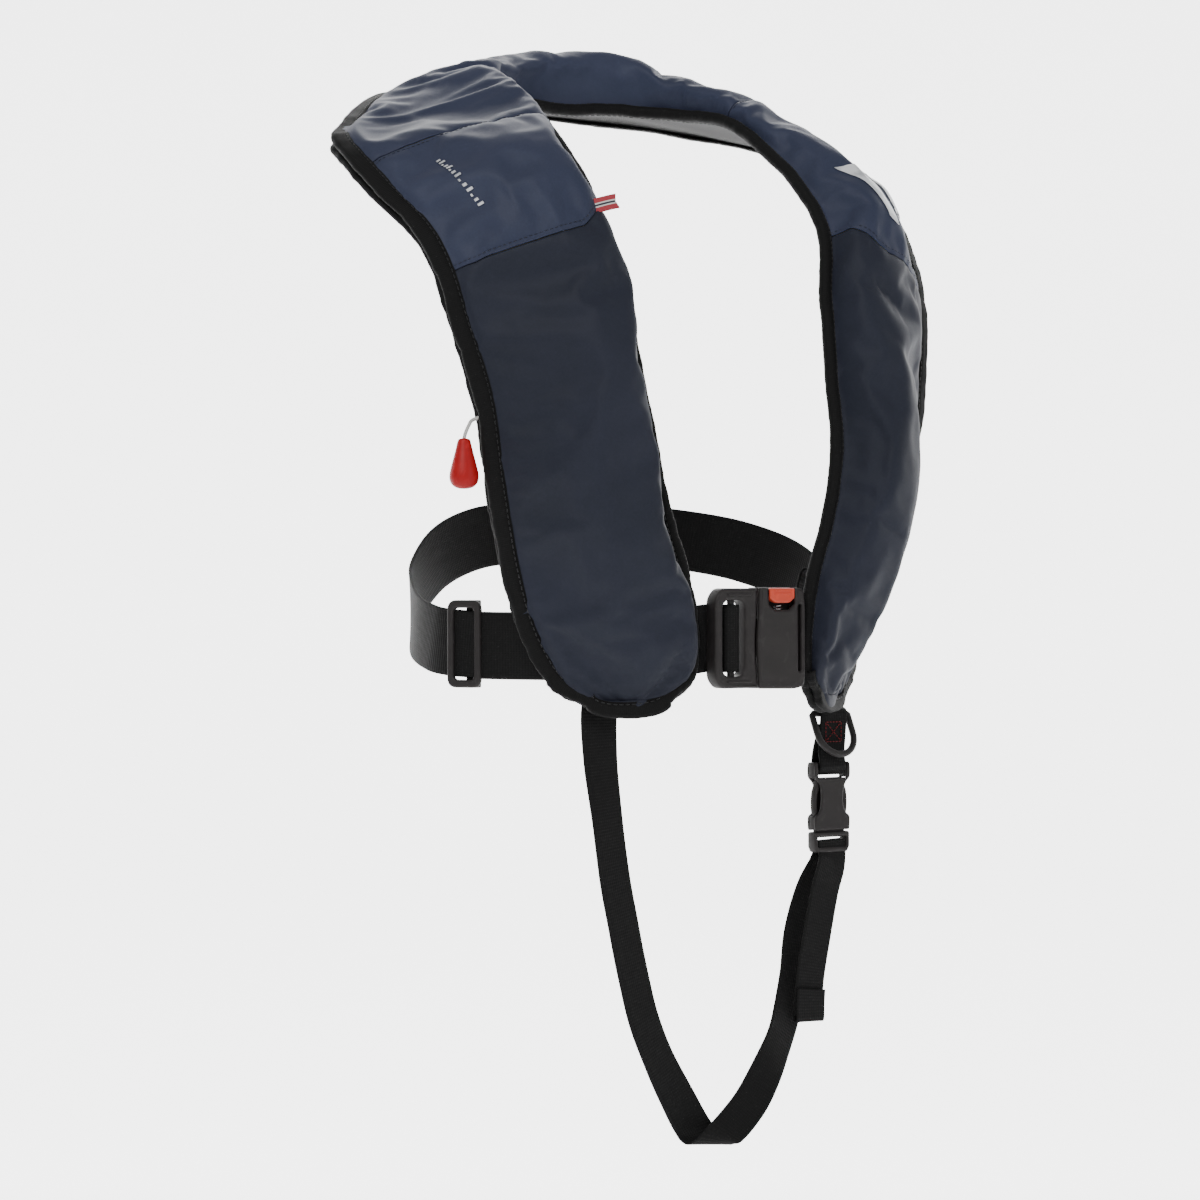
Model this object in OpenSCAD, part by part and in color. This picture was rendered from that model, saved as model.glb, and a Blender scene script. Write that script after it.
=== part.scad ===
// Inflatable life jacket, packed: a horseshoe of padded cloth around the neck with
// a waist belt, a centre buckle, a crotch strap and the inflation gear inside.
// The wearer faces -Y, the wearer's left is +X and the origin is the middle of the
// neck opening. Lengths are in millimetres and +Z is up.

/* [Padded shell] */
// Height of the lobes above the lining, as a share of the drawn height
loft = 1; // [1:0.01:1.15]
// Thickness of the cover cloth and the lining cloth
cloth_t = 2; // [1.6:0.1:2.2]
// Width of the woven binding along the outer edge
binding_w = 20; // [14:1:21]
// Thickness of one layer of binding
binding_t = 1.4; // [1:0.1:1.6]
// Width of the hook-and-loop strip that bursts open
burst_w = 16; // [10:1:18]

/* [Webbing] */
// Width of the waist belt
belt_w = 46; // [40:1:48]
// Width of the crotch strap and its anchor
strap_w = 25; // [20:1:26]
// Width of the strap down the back
back_w = 40; // [30:1:45]
// Thickness of the webbing
web_t = 2; // [1.4:0.1:2.2]

/* [Waist buckle] */
// Width of the closed buckle along the belt
buckle_w = 77; // [74:1:79]
// Height of the buckle
buckle_h = 70; // [62:1:74]
// Depth of the buckle, front to back
buckle_t = 15; // [13:1:17]
// Width of the release button
button_w = 22; // [16:1:24]

/* [Inflation gear] */
// Diameter of the gas cylinder
cylinder_d = 28; // [24:1:28]
// Length of the gas cylinder without its neck
cylinder_l = 106; // [90:1:110]
// Diameter of the oral tube
tube_d = 13; // [10:1:14]
// Diameter of the pull cord
cord_d = 2.4; // [2:0.1:2.6]
// Length of the pull handle
handle_l = 33; // [28:1:36]
// Width of the pull handle
handle_w = 20; // [16:1:22]

/* [Crotch strap buckle] */
// Width of the side-release buckle
clip_w = 32; // [31:1:34]
// Depth of the side-release buckle
clip_t = 10; // [9:1:11]

/* [D-ring] */
// Thickness of the ring's bar
ring_d = 4.6; // [4:0.1:5]
// Clear width inside the ring
ring_in = 28; // [27:0.5:30]

/* [Hidden] */

// Colours
NAVY = "#2f3444";
NAVY_UPPER = "#3a415a";
BLACK = "#191919";
PLASTIC = "#3a3a3c";
RED = "#b3262b";

// Half of the horseshoe from the middle of the collar to the tip of a lobe: points on
// the inner edge, points on the outer edge, and the height of the padding above them
INNER = [
    [0, 84, 8], [48, 72, 10], [76, 42, 5], [87, 0, -3], [90, -38, -24], [93, -77, -55],
    [94, -106, -90], [85, -120, -140], [79, -134, -195], [74, -146, -248],
    [64, -150, -294], [48, -151, -342], [42, -152, -384], [50, -146, -410],
    [72, -133, -425]
];
OUTER = [
    [0, 148, 14], [88, 130, 10], [152, 94, 0], [202, 48, -18], [231, 16, -42],
    [230, -34, -84], [214, -72, -124], [204, -90, -174], [190, -98, -228],
    [180, -98, -280], [164, -90, -328], [148, -86, -370], [134, -90, -400],
    [116, -100, -418], [92, -118, -427]
];
HEIGHT = [38, 34, 28, 26, 29, 35, 40, 43, 43, 43, 42, 39, 31, 20, 9];
TIP = len(INNER) - 1;

// Stations along the horseshoe: a whole step of the lists above, cut in this share
STEP = 0.4;
UPPER_SEAM = 4.4;
LOWER_SEAM = 6.4;

// Layers above the outer face of the lining, which lies against the wearer
lining_lo = 2;
lining_hi = lining_lo + cloth_t;
lining_band_h = 6;
cover_band_lo = 9;
cover_band_h = 15;
flange_lo = 11;
inner_band_h = 9;
inner_flange_lo = 5;
inner_band_w = 9;
edge_gap = 2;
slack = 0.4;
belt_lift = -6;

// Where hidden gear stands in the lobes, from its foot to its head: station, distance
// from the inner edge and height
GEAR_FOOT = [11.1, 44, 21.2];
GEAR_HEAD = [9, 45, 21.2];
TUBE_FOOT = [8.5, 42, 24];
TUBE_HEAD = [6.5, 42, 24];
TAB_FOOT = [6.7, 0, 4.5];
TAB_HEAD = [6.3, 0, 4.5];
CORD_EXIT = 8.15;

// Waist buckle
buckle_x = 3.5;
buckle_y = -155;
buckle_z = -381;
tongue_l = 36;
blade_l = 27;
blade_h = 24;
blade_t = 4.4;
wall = 2.5;
button_h = 11;
pocket = 15;

// Slider on the belt: its place, and the turn of its face from -Y
slider_at = [-155, -38, -385];
slider_turn = -65.3;

// Crotch buckle: middle of the socket's top edge, then lengths down from it
clip_x = 104;
clip_y = -111;
clip_top = -470;
socket_l = 49;
plug_base = 15;
clip_gap = 1;
arm_x = 10;
arm_w = 5;
arm_l = 36;
web_bar = 5;

// D-ring: the middle of its bar
ring_x = 107;
ring_y = -108;
ring_z = -436;
ring_drop = 34;
ring_tilt = 25;

// Route of the belt outside the lobes: point and the outward direction there
BELT_LEFT = [
    [[148, -62, -374], [0.85, -0.5, 0]], [[163, -10, -340], [1, -0.05, 0]],
    [[150, 50, -318], [0.85, 0.5, 0]], [[105, 92, -307], [0.5, 0.85, 0]],
    [[50, 113, -303], [0.2, 1, 0]], [[0, 119, -304], [0, 1, 0]]
];
BELT_RIGHT = [
    [[-50, 113, -309], [-0.2, 1, 0]], [[-95, 97, -325], [-0.45, 0.9, 0]],
    [[-132, 70, -352], [-0.7, 0.7, 0]], [[-156, 30, -372], [-0.95, 0.25, 0]],
    [[-163, -4, -381], [-1, -0.1, 0]], [[-161, -25, -384], [-0.91, -0.41, 0]],
    [[-155, -38, -385], [-0.91, -0.41, 0]], [[-149, -51, -386], [-0.91, -0.41, 0]]
];

// Route of the crotch strap from behind the right lobe to the plug
STRAP = [
    [[-95, -111, -424], [-0.45, -0.89, 0]], [[-94.5, -110, -462], [-0.2, -0.98, 0]],
    [[-90, -112, -504], [0, -1, 0]], [[-84, -112, -544], [0, -1, 0]],
    [[-76, -112, -579], [0, -1, 0]], [[-68, -112, -613], [0, -1, 0]],
    [[-60, -112, -641], [0, -1, 0]], [[-47, -112, -670], [0, -1, 0]],
    [[-31, -112, -698], [0, -1, 0]], [[-15, -112, -722], [0, -1, 0]],
    [[-8, -117, -729], [0, 0, 1]], [[0, -122, -724], [0, 1, 0]],
    [[18, -122, -712], [0, 1, 0]], [[38, -121, -696], [0, 1, 0]],
    [[54, -119, -674], [0, 1, 0]], [[64, -116, -648], [0, 1, 0]],
    [[70, -113, -620], [0, 1, 0]], [[76, -110, -592], [0, 1, 0]],
    [[88, -109, -562], [0, 1, 0]], [[100, -108.2, -545], [0, 1, 0]],
    [[104, -108, -536], [0, 1, 0]], [[104, -108, -526], [0, 1, 0]]
];
TAIL = [
    [[104, -114, -526], [0, 1, 0]], [[104, -114.4, -536], [0, 1, 0]],
    [[101, -117, -545], [0, 1, 0]],
    [[92, -121, -562], [0, 1, 0]], [[83, -124, -590], [0, 1, 0]],
    [[76, -125, -620], [0, 1, 0]], [[74, -125, -648], [0, 1, 0]]
];

// Route of the back strap: down behind the belt, around its lower edge and up inside
BACK = [
    [[0, 138, 4], [0, 0.6, -0.8]], [[0, 146, -16], [0, 1, 0]],
    [[0, 143, -80], [0, 1, 0]], [[0, 134, -170], [0, 1, 0]],
    [[0, 125, -262], [0, 1, 0]], [[0, 122.5, -300], [0, 1, 0]],
    [[0, 122.5, -328], [0, 1, 0]], [[0, 119, -332], [0, 0, -1]],
    [[0, 115.5, -328], [0, -1, 0]], [[0, 115.5, -270], [0, -1, 0]]
];

// Pull cord between the edge of the cover and the handle
CORD_FREE = [[-198, -107, -240], [-202.5, -109, -247], [-203, -109, -252]];
HANDLE_AT = [-203, -109, -249];

function unit(v) = v / norm(v);
function flip(v) = is_list(v) ? [-v[0], v[1], v[2]] : v;

// Smooth curve through a list; half of it is given and the other half is its mirror
function pick(list, i) =
    i < 0 ? flip(list[-i])
    : i >= len(list) ? 2 * list[len(list) - 1] - list[len(list) - 2]
    : list[i];
function blend(p0, p1, p2, p3, t) =
    0.5 * (2 * p1 + (p2 - p0) * t + (2 * p0 - 5 * p1 + 4 * p2 - p3) * t * t
    + (3 * p1 - p0 - 3 * p2 + p3) * t * t * t);
function along(list, s) =
    let (i = min(floor(s), len(list) - 2))
    blend(pick(list, i - 1), pick(list, i), pick(list, i + 1), pick(list, i + 2), s - i);

// Frame of the shell at station s of the left half
function inner_at(s) = along(INNER, s);
function outer_at(s) = along(OUTER, s);
function across(s) = unit(outer_at(s) - inner_at(s));
function width(s) = norm(outer_at(abs(s)) - inner_at(abs(s)));
function height(s) = loft * along(HEIGHT, abs(s));
function middle(s) = (inner_at(s) + outer_at(s)) / 2;
function onward(s) =
    let (a = max(s - 0.05, 0), b = min(a + 0.1, TIP))
    a == 0 ? [1, 0, 0] : middle(b) - middle(a);
function outward(s) = unit(cross(onward(s), across(s)));

// A point at station s (negative on the wearer's right), w in from the inner edge
// and h above the wearer's side of the lining
function spot(s, w, h) =
    let (a = abs(s), p = inner_at(a) + w * across(a) + h * outward(a))
    s < 0 ? flip(p) : p;
function normal_at(s) = s < 0 ? flip(outward(-s)) : outward(s);

// Matrix that stands gear in a lobe: Y from foot to head, Z out of the lobe
function lobe_frame(foot, head, side) =
    let (
        a = spot(side * foot[0], foot[1], foot[2]),
        b = spot(side * head[0], head[1], head[2]),
        y = unit(b - a),
        x = unit(cross(y, normal_at(side * (foot[0] + head[0]) / 2))),
        z = cross(x, y)
    )
    [for (r = [0:2]) [x[r], y[r], z[r], b[r]]];

module in_gear() { multmatrix(lobe_frame(GEAR_FOOT, GEAR_HEAD, -1)) children(); }
module in_tube() { multmatrix(lobe_frame(TUBE_FOOT, TUBE_HEAD, 1)) children(); }

// Solid through a list of sections with the same number of points
module loft_through(sections) {
    n = len(sections[0]);
    m = len(sections);
    points = [for (c = sections) each c];
    // Each end is closed by a strip between point i and its opposite, so n is even
    start = [
        for (i = [0:n / 2 - 2])
        each [[i, i + 1, n - 2 - i], [i, n - 2 - i, n - 1 - i]]
    ];
    end = [for (f = start) [for (k = [2:-1:0]) (m - 1) * n + f[k]]];
    sides = [
        for (j = [0:m - 2], i = [0:n - 1])
        let (a = j * n + i, b = j * n + (i + 1) % n)
        each [[a, a + n, b + n], [a, b + n, b]]
    ];
    polyhedron(points, concat(start, end, sides), convexity = 10);
}

// Piece of the shell between two stations, with a section that is given as [w, h]
module shell_piece(from, to, section) {
    count = max(1, round((to - from) / STEP));
    loft_through([
        for (j = [0:count])
        let (s = from + (to - from) * j / count)
        [for (q = section(s)) spot(s, q[0], q[1])]
    ]);
}

// Small block on the back of the lining
module shell_block(from, to, w0, w1, h0, h1) {
    shell_piece(from, to, function(s) [[w0, h0], [w1, h0], [w1, h1], [w0, h1]]);
}

// Flat webbing along a route of points and face directions
module ribbon(route, wide, thick, cuts = 4) {
    n = len(route);
    function part(k, u) =
        let (
            i = min(floor(u), n - 2),
            a = route[max(i - 1, 0)][k],
            b = route[i][k],
            c = route[i + 1][k],
            d = route[min(i + 2, n - 1)][k]
        )
        blend(a, b, c, d, u - i);
    function section(u) =
        let (
            near = max(u - 0.02, 0),
            far = min(u + 0.02, n - 1),
            t = unit(part(0, far) - part(0, near)),
            raw = part(1, u),
            face = unit(raw - (raw * t) * t),
            side = cross(face, t) * wide / 2,
            up = face * thick / 2,
            p = part(0, u)
        )
        [p - side - up, p + side - up, p + side + up, p - side + up];
    loft_through([for (j = [0:(n - 1) * cuts]) section(j / cuts)]);
}

// Round cord along a list of points
module cord(points, d, sides = 8) {
    n = len(points);
    function section(i) =
        let (
            t = unit(points[min(i + 1, n - 1)] - points[max(i - 1, 0)]),
            x = unit(cross(t, [0.3, 1, 0.2])),
            y = cross(t, x)
        )
        [for (k = [0:sides - 1])
            points[i] + d / 2 * (x * cos(360 * k / sides) + y * sin(360 * k / sides))];
    loft_through([for (i = [0:n - 1]) section(i)]);
}

// Block with rounded upright corners, centred in X and Y
module rounded(x, y, z, r) {
    linear_extrude(z) rounded_face(x, y, r);
}

module rounded_face(x, y, r) {
    square([x - 2 * r, y], center = true);
    square([x, y - 2 * r], center = true);
    for (i = [-1, 1], j = [-1, 1]) {
        translate([i * (x / 2 - r), j * (y / 2 - r)]) circle(r, $fn = 24);
    }
}

// ---- Padded shell -----------------------------------------------------------

// The lobes narrow at their tips, so the flanges narrow with them
function narrow(s) = min(1, width(s) / 70);
function rise(t) = pow(sin(180 * pow(t, 0.58)), 0.75);

DOME_CUTS = 9;
function cover_section(s) =
    let (
        w = width(s),
        k = narrow(s),
        a = inner_band_w * k,
        b = (binding_w + 1) * k,
        c = cloth_t,
        span = w - a - b,
        top = max(height(s), flange_lo + 2 * c),
        step = flange_lo - inner_flange_lo,
        cuts = [for (i = [1:DOME_CUTS]) pow(i / (DOME_CUTS + 1), 1.5)]
    )
    concat(
        [[edge_gap, inner_flange_lo], [a + c, inner_flange_lo]],
        [for (t = cuts)
            let (base = inner_flange_lo + step * t)
            [a + c + (span - 2 * c) * t, base + (top - base - c) * rise(t)]],
        [[w - b - c, flange_lo], [w - edge_gap, flange_lo],
            [w - edge_gap, flange_lo + c], [w - b, flange_lo + c]],
        [for (i = [DOME_CUTS - 1:-1:0])
            let (t = cuts[i], base = inner_flange_lo + c + step * t)
            [a + span * t, base + (top - base) * rise(t)]],
        [[a, inner_flange_lo + c], [edge_gap, inner_flange_lo + c]]
    );

module cover(from, to, shade) {
    color(shade) shell_piece(from, to, function(s) cover_section(s));
}

module cover_collar() { cover(-UPPER_SEAM, UPPER_SEAM, NAVY_UPPER); }
module cover_right_upper() { cover(-LOWER_SEAM, -UPPER_SEAM, NAVY_UPPER); }
module cover_right_lower() { cover(-TIP, -LOWER_SEAM, NAVY); }
module cover_left_upper() { cover(UPPER_SEAM, LOWER_SEAM, NAVY_UPPER); }
module cover_left_lower() { cover(LOWER_SEAM, TIP, NAVY); }

LINING_CUTS = 5;
module lining(from, to) {
    color(BLACK) shell_piece(from, to, function(s)
        let (e = edge_gap, span = width(s) - 2 * e)
        concat(
            [for (i = [0:LINING_CUTS]) [e + span * i / LINING_CUTS, lining_lo]],
            [for (i = [LINING_CUTS:-1:0]) [e + span * i / LINING_CUTS, lining_hi]]
        ));
}

module lining_collar() { lining(-UPPER_SEAM, UPPER_SEAM); }
module lining_right() { lining(-TIP, -UPPER_SEAM); }
module lining_left() { lining(UPPER_SEAM, TIP); }

// Folded tape over an edge: side is 1 on the outer edge and -1 on the inner edge
function tape(edge, side, wide, lo, hi) =
    let (
        in = edge - side * wide,
        wall = edge - side * binding_t,
        t = binding_t,
        fold = [[in, lo], [edge, lo], [edge, hi], [in, hi],
            [in, hi - t], [wall, hi - t], [wall, lo + t], [in, lo + t]]
    )
    side > 0 ? fold : [for (i = [7:-1:0]) fold[i]];

module lining_binding() {
    color(BLACK) shell_piece(-TIP, TIP, function(s)
        tape(width(s), 1, binding_w * narrow(s), 0, lining_band_h));
}

module cover_binding() {
    color(BLACK) shell_piece(-TIP, TIP, function(s)
        tape(width(s), 1, binding_w * narrow(s), cover_band_lo, cover_band_h));
}

module inner_binding() {
    color(BLACK) shell_piece(-TIP, TIP, function(s)
        tape(0, -1, (inner_band_w - 1) * narrow(s), 0, inner_band_h));
}

// Room that the bladder leaves for the gear folded in front of it
function bladder_top(s) = s < -7.1 && s > -12.3 ? 5.9 : s > 5.1 && s < 9.7 ? 14 : 99;

BLADDER_CUTS = 6;
module bladder() {
    reach = 12.4;
    color("#e8b320") shell_piece(-reach, reach, function(s)
        let (
            a = inner_band_w + 2 * cloth_t + 1,
            span = width(s) - a - binding_w - burst_w - 4,
            base = inner_flange_lo,
            top = height(s),
            lo = lining_hi + 2 * slack
        )
        concat(
            [for (i = [0:BLADDER_CUTS]) [a + span * i / BLADDER_CUTS, lo]],
            [for (i = [BLADDER_CUTS:-1:0])
                let (t = 0.06 + 0.62 * i / BLADDER_CUTS)
                [a + span * i / BLADDER_CUTS,
                    min(base + (top - base) * rise(t) - 8, bladder_top(s))]]
        ));
}

// Hook-and-loop closure inside the outer edge, open where the pull cord leaves
module burst_strips() {
    outer = binding_w + 2;
    for (ends = [[-12, -8.8], [-7.6, -4.4], [4.4, 12]]) {
        color(BLACK) shell_piece(ends[0], ends[1], function(s)
            let (w = width(s) - outer, lo = lining_hi + slack, hi = flange_lo - 0.8)
            [[w - burst_w, lo], [w, lo], [w, hi], [w - burst_w, hi]]);
    }
}

// Generic woven tab with plain stripes, sewn into the inner edge
module striped_tab() {
    color(RED) multmatrix(lobe_frame(TAB_FOOT, TAB_HEAD, -1))
        translate([0.3, -15, -0.8]) cube([11, 10, 1.6]);
}

// Plain reflective shape on the wearer's left upper panel
module reflective_mark() {
    top_of_dome = 18;
    skin = 0.6;
    color("#d8d8d8") shell_piece(5.2, 6, function(s)
        let (face = [for (i = [0:2]) cover_section(s)[top_of_dome + i] + [0, 0.3]])
        [face[2], face[1], face[0], for (p = face) p + [0, skin]]);
}

// ---- Inflation gear ---------------------------------------------------------

neck_d = 12;
neck_l = 12;
bore_d = neck_d + 0.8;
head_l = 34;
head_w = 28;
head_t = 22;
head_back = -13.3;
lever_l = 24;
lever_t = 3;
lever_x = -head_w / 2 - 3;
lever_z = -8;
pin_d = 3;

// Turned along -Y of the lobe: body, shoulder, then the threaded neck upwards
module gas_cylinder() {
    r = cylinder_d / 2;
    color("#9fa3a6") in_gear() rotate([90, 0, 0]) rotate_extrude($fn = 48)
        polygon(concat(
            [[0, -neck_l], [neck_d / 2, -neck_l], [neck_d / 2, 1]],
            [for (a = [90:-15:0]) [neck_d / 2 + (r - neck_d / 2) * cos(a), 12 - 11 * sin(a)]],
            [for (a = [0:15:90])
                [r * cos(a), cylinder_l - r * 0.8 + r * 0.8 * sin(a)]]
        ));
}

module inflator_body() {
    color("#d9a520") in_gear() difference() {
        union() {
            translate([0, slack + head_l / 2, head_back]) rounded(head_w, head_l, head_t, 5);
            translate([lever_x - 3, 8, lever_z - 4.5]) cube([8, 10, 2.6]);
            translate([lever_x - 3, 8, lever_z + lever_t + 0.8]) cube([8, 10, 2.6]);
        }
        rotate([-90, 0, 0]) cylinder(d = bore_d, h = neck_l + 2, $fn = 32);
        translate([lever_x, 13, lever_z - 6]) cylinder(d = pin_d + 0.4, h = 14, $fn = 24);
    }
}

module inflator_lever() {
    color(PLASTIC) in_gear() translate([lever_x, 13, lever_z - 0.8]) {
        difference() {
            linear_extrude(lever_t) {
                circle(2.9, $fn = 32);
                translate([-2.4, 0]) square([4, lever_l - 2]);
                translate([-0.4, lever_l - 2]) circle(2.8, $fn = 32);
            }
            translate([0, 0, -1]) cylinder(d = pin_d + 0.4, h = 6, $fn = 24);
            translate([-0.4, lever_l - 2, -1]) cylinder(d = 2.8, h = 6, $fn = 24);
        }
    }
}

module lever_pin() {
    color("#9fa3a6") in_gear() translate([lever_x, 13, lever_z - 4.5])
        cylinder(d = pin_d, h = 10.9, $fn = 24);
}

// Inside the lobe the cord runs from the lever to the gap between the two bindings
module pull_cord() {
    w = width(CORD_EXIT);
    inside = [spot(-CORD_EXIT, 72, 11.6), spot(-CORD_EXIT, 78, 10.4),
        spot(-CORD_EXIT, w - 26, 7.6), spot(-CORD_EXIT, w - 12, 7.5),
        spot(-CORD_EXIT, w + 2, 7.5)];
    color("#e6e6e2") cord(concat(inside, CORD_FREE), cord_d);
}

// Tear-drop handle: round shoulders below, a narrow neck at the cord
module pull_handle() {
    r = handle_w / 2;
    low = handle_l - r;
    color(RED) translate(HANDLE_AT) difference() {
        scale([1, 1, -1]) rotate_extrude($fn = 48)
            polygon(concat(
                [[0, 0], [3.4, 0], [4.4, 1.5]],
                [[r * 0.72, low * 0.55]],
                [for (a = [15:-15:-90]) [r * cos(a), low - r * sin(a)]]
            ));
        translate([0, 0, -4.2]) cylinder(d = cord_d + 0.8, h = 5, $fn = 24);
    }
}

tube_l = 105;
cap_l = 15;
module oral_tube() {
    color("#1d1d1f") in_tube() translate([0, -tube_l / 2, 0]) rotate([-90, 0, 0]) difference() {
        union() {
            translate([0, 0, -tube_l / 2]) cylinder(d = tube_d, h = tube_l, $fn = 40);
            translate([0, 0, -tube_l / 2 - 3]) cylinder(d = tube_d + 4, h = 3, $fn = 40);
        }
        translate([0, 0, -tube_l / 2 - 4]) cylinder(d = tube_d - 4, h = tube_l + 8, $fn = 40);
    }
}

module tube_cap() {
    inner = tube_d + 0.8;
    color(RED) in_tube() translate([0, -tube_l / 2, 0]) rotate([-90, 0, 0]) translate([0, 0, tube_l / 2 - 10])
    difference() {
        cylinder(d = inner + 3, h = cap_l, $fn = 40);
        translate([0, 0, -1]) cylinder(d = inner, h = 12, $fn = 40);
    }
}

module whistle() {
    color("#e0e0de") in_tube() translate([22, -85, -8.6]) difference() {
        union() {
            rounded(12, 40, 8, 3);
            translate([0, -17, 0]) cylinder(d = 12, h = 8, $fn = 32);
        }
        translate([-3.6, -8, 2]) cube([7.2, 40, 4]);
        translate([-3, -2, 5]) cube([6, 8, 6]);
        translate([0, -18, -1]) cylinder(d = 4, h = 12, $fn = 24);
    }
}

// ---- Belt and back strap ----------------------------------------------------

// Points where the belt lies flat behind a lobe
function behind(side, places) =
    [for (q = places) [spot(side * q[0], q[1], belt_lift), normal_at(side * q[0])]];

module waist_belt() {
    back = buckle_y + buckle_t / 2 + web_t / 2 + 2 * slack;
    left_end = [
        [[right_x - 12, back, buckle_z], [0, -1, 0]],
        [[right_x - 2, back + 0.3, buckle_z], [0.1, -1, 0]]
    ];
    route = concat(
        left_end,
        behind(1, [[11.95, 18], [11.9, 45], [11.75, 75], [11.6, 102]]),
        BELT_LEFT, BELT_RIGHT,
        behind(-1, [[11.6, 102], [11.75, 75], [11.9, 45]])
    );
    color(BLACK) ribbon(route, belt_w, web_t, 3);
}

// Short end of the belt that runs out to the adjusting bar of the tongue
module belt_end() {
    bar = [grip_x, buckle_y, buckle_z];
    over = grip_t / 2 + web_t / 2 + slack;
    back = buckle_t / 2 - 1.5 - bar_recess + web_t / 2 + slack;
    route = concat(
        behind(-1, [[11.9, 41], [11.92, 31], [11.95, 18]]),
        [[bar + [-18, back + 1, 0], [0, -1, 0]], [bar + [-12.6, back + 0.4, 0], [-0.1, -1, 0]],
            [bar + [-7.6, 2.6, 0], [-0.7, -0.7, 0]], [bar + [-4.8, -1.8, 0], [-0.7, -0.7, 0]],
            [bar + [0, -over, 0], [0, -1, 0]], [bar + [5, -2, 0], [0.7, -0.7, 0]]]
    );
    color(BLACK) ribbon(route, belt_w, web_t, 3);
}

// Loop on the lining that the belt runs through
module belt_loop(side) {
    top = 10.65;
    bottom = 13.15;
    w0 = 16;
    w1 = 34;
    back = belt_lift - 3.2;
    lip = 0.16;
    color(BLACK) {
        shell_block(side * (side > 0 ? top : bottom), side * (side > 0 ? bottom : top),
            w0, w1, back - 1.4, back);
        shell_block(side * (side > 0 ? top : top + lip), side * (side > 0 ? top + lip : top),
            w0, w1, back, lining_lo - 0.05);
        shell_block(side * (side > 0 ? bottom - lip : bottom),
            side * (side > 0 ? bottom : bottom - lip), w0, w1, back, lining_lo - 0.05);
    }
}
module belt_loop_right() { belt_loop(-1); }
module belt_loop_left() { belt_loop(1); }

module back_strap() { color(BLACK) ribbon(BACK, back_w, web_t, 3); }

// Three-bar slider: two bars in front of the belt and one behind it
module belt_slider() {
    clear = web_t / 2 + 0.7;
    tall = belt_w + 14;
    wide = 27;
    bar = 5;
    color(PLASTIC) translate(slider_at) rotate([0, 0, slider_turn]) rotate([90, 0, 0]) {
        translate([0, 0, clear]) linear_extrude(4) difference() {
            rounded_face(wide, tall, 6);
            rounded_face(wide - 2 * bar, tall - 2 * bar, 3);
        }
        for (z = [-1, 1]) {
            translate([-wide / 2 + 5, z * (tall / 2 - 2.5) - 2.5, -clear - 3])
                cube([wide - 10, 5, 2 * clear + 3.5]);
        }
        translate([-bar / 2, -tall / 2 + 1, -clear - 3]) cube([bar, tall - 2, 3]);
    }
}

// ---- Waist buckle -----------------------------------------------------------

grip_w = 5;
grip_t = 3;
bar_recess = 2.5;
grip_x = buckle_x - buckle_w / 2 + 17;
split_x = buckle_x - buckle_w / 2 + tongue_l;
right_x = buckle_x + buckle_w / 2;
button_x = split_x + 20.5;

// Tongue: frame with the webbing slot and ridged bar, then the blade
module buckle_tongue() {
    t = buckle_t - 3;
    left_x = buckle_x - buckle_w / 2;
    color(PLASTIC) translate([0, buckle_y, buckle_z]) {
        difference() {
            translate([left_x + tongue_l / 2, t / 2, 0]) rotate([90, 0, 0])
                rounded(tongue_l, buckle_h - 2, t, 6);
            translate([left_x + 6, -t, -belt_w / 2 - 2]) cube([20, 2 * t, belt_w + 4]);
            // recess for the belt across the back of the outer bar
            translate([left_x - 1, t / 2 - bar_recess, -belt_w / 2 - 2])
                cube([8, bar_recess + 1, belt_w + 4]);
        }
        // ridged grip bar that the belt passes over
        translate([grip_x - grip_w / 2, -grip_t / 2, -belt_w / 2 - 3])
            cube([grip_w, grip_t, belt_w + 6]);
        translate([left_x + tongue_l - 0.5, -blade_t / 2, -blade_h / 2])
            cube([blade_l, blade_t, blade_h]);
    }
}

// Housing: hollow box, open towards the tongue, with a pocket for the button on top
module buckle_housing() {
    w = right_x - split_x - slack;
    color(PLASTIC) translate([split_x + slack, buckle_y, buckle_z]) difference() {
        translate([w / 2, buckle_t / 2, 0]) rotate([90, 0, 0])
            rounded(w, buckle_h, buckle_t, 4);
        translate([-1, -buckle_t / 2 + wall, -blade_h / 2 - 1])
            cube([blade_l + 4, buckle_t - 2 * wall, blade_h + 2]);
        translate([button_x - split_x - slack - button_w / 2 - 0.4, -buckle_t / 2 - 1, pocket])
            cube([button_w + 0.8, buckle_t - wall + 1, buckle_h]);
    }
}

module release_button() {
    top = buckle_z + buckle_h / 2 - 0.5;
    color("#e0523a") translate([button_x, buckle_y, top]) {
        translate([-button_w / 2, -buckle_t / 2 + 0.2, -button_h])
            cube([button_w, buckle_t - wall - 0.6, button_h]);
    }
}

module button_spring() {
    turns = 3;
    r = 3;
    wire = 0.9;
    steps = 12 * turns;
    z0 = buckle_z + pocket + wire;
    z1 = buckle_z + buckle_h / 2 - 0.5 - button_h - wire;
    points = [for (i = [0:steps])
        [button_x + r * cos(30 * i), buckle_y - 0.6 + r * sin(30 * i),
            z0 + (z1 - z0) * i / steps]];
    color("#b8b8b8") cord(points, wire, 6);
}

// ---- Crotch strap and its fittings -------------------------------------------

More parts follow.
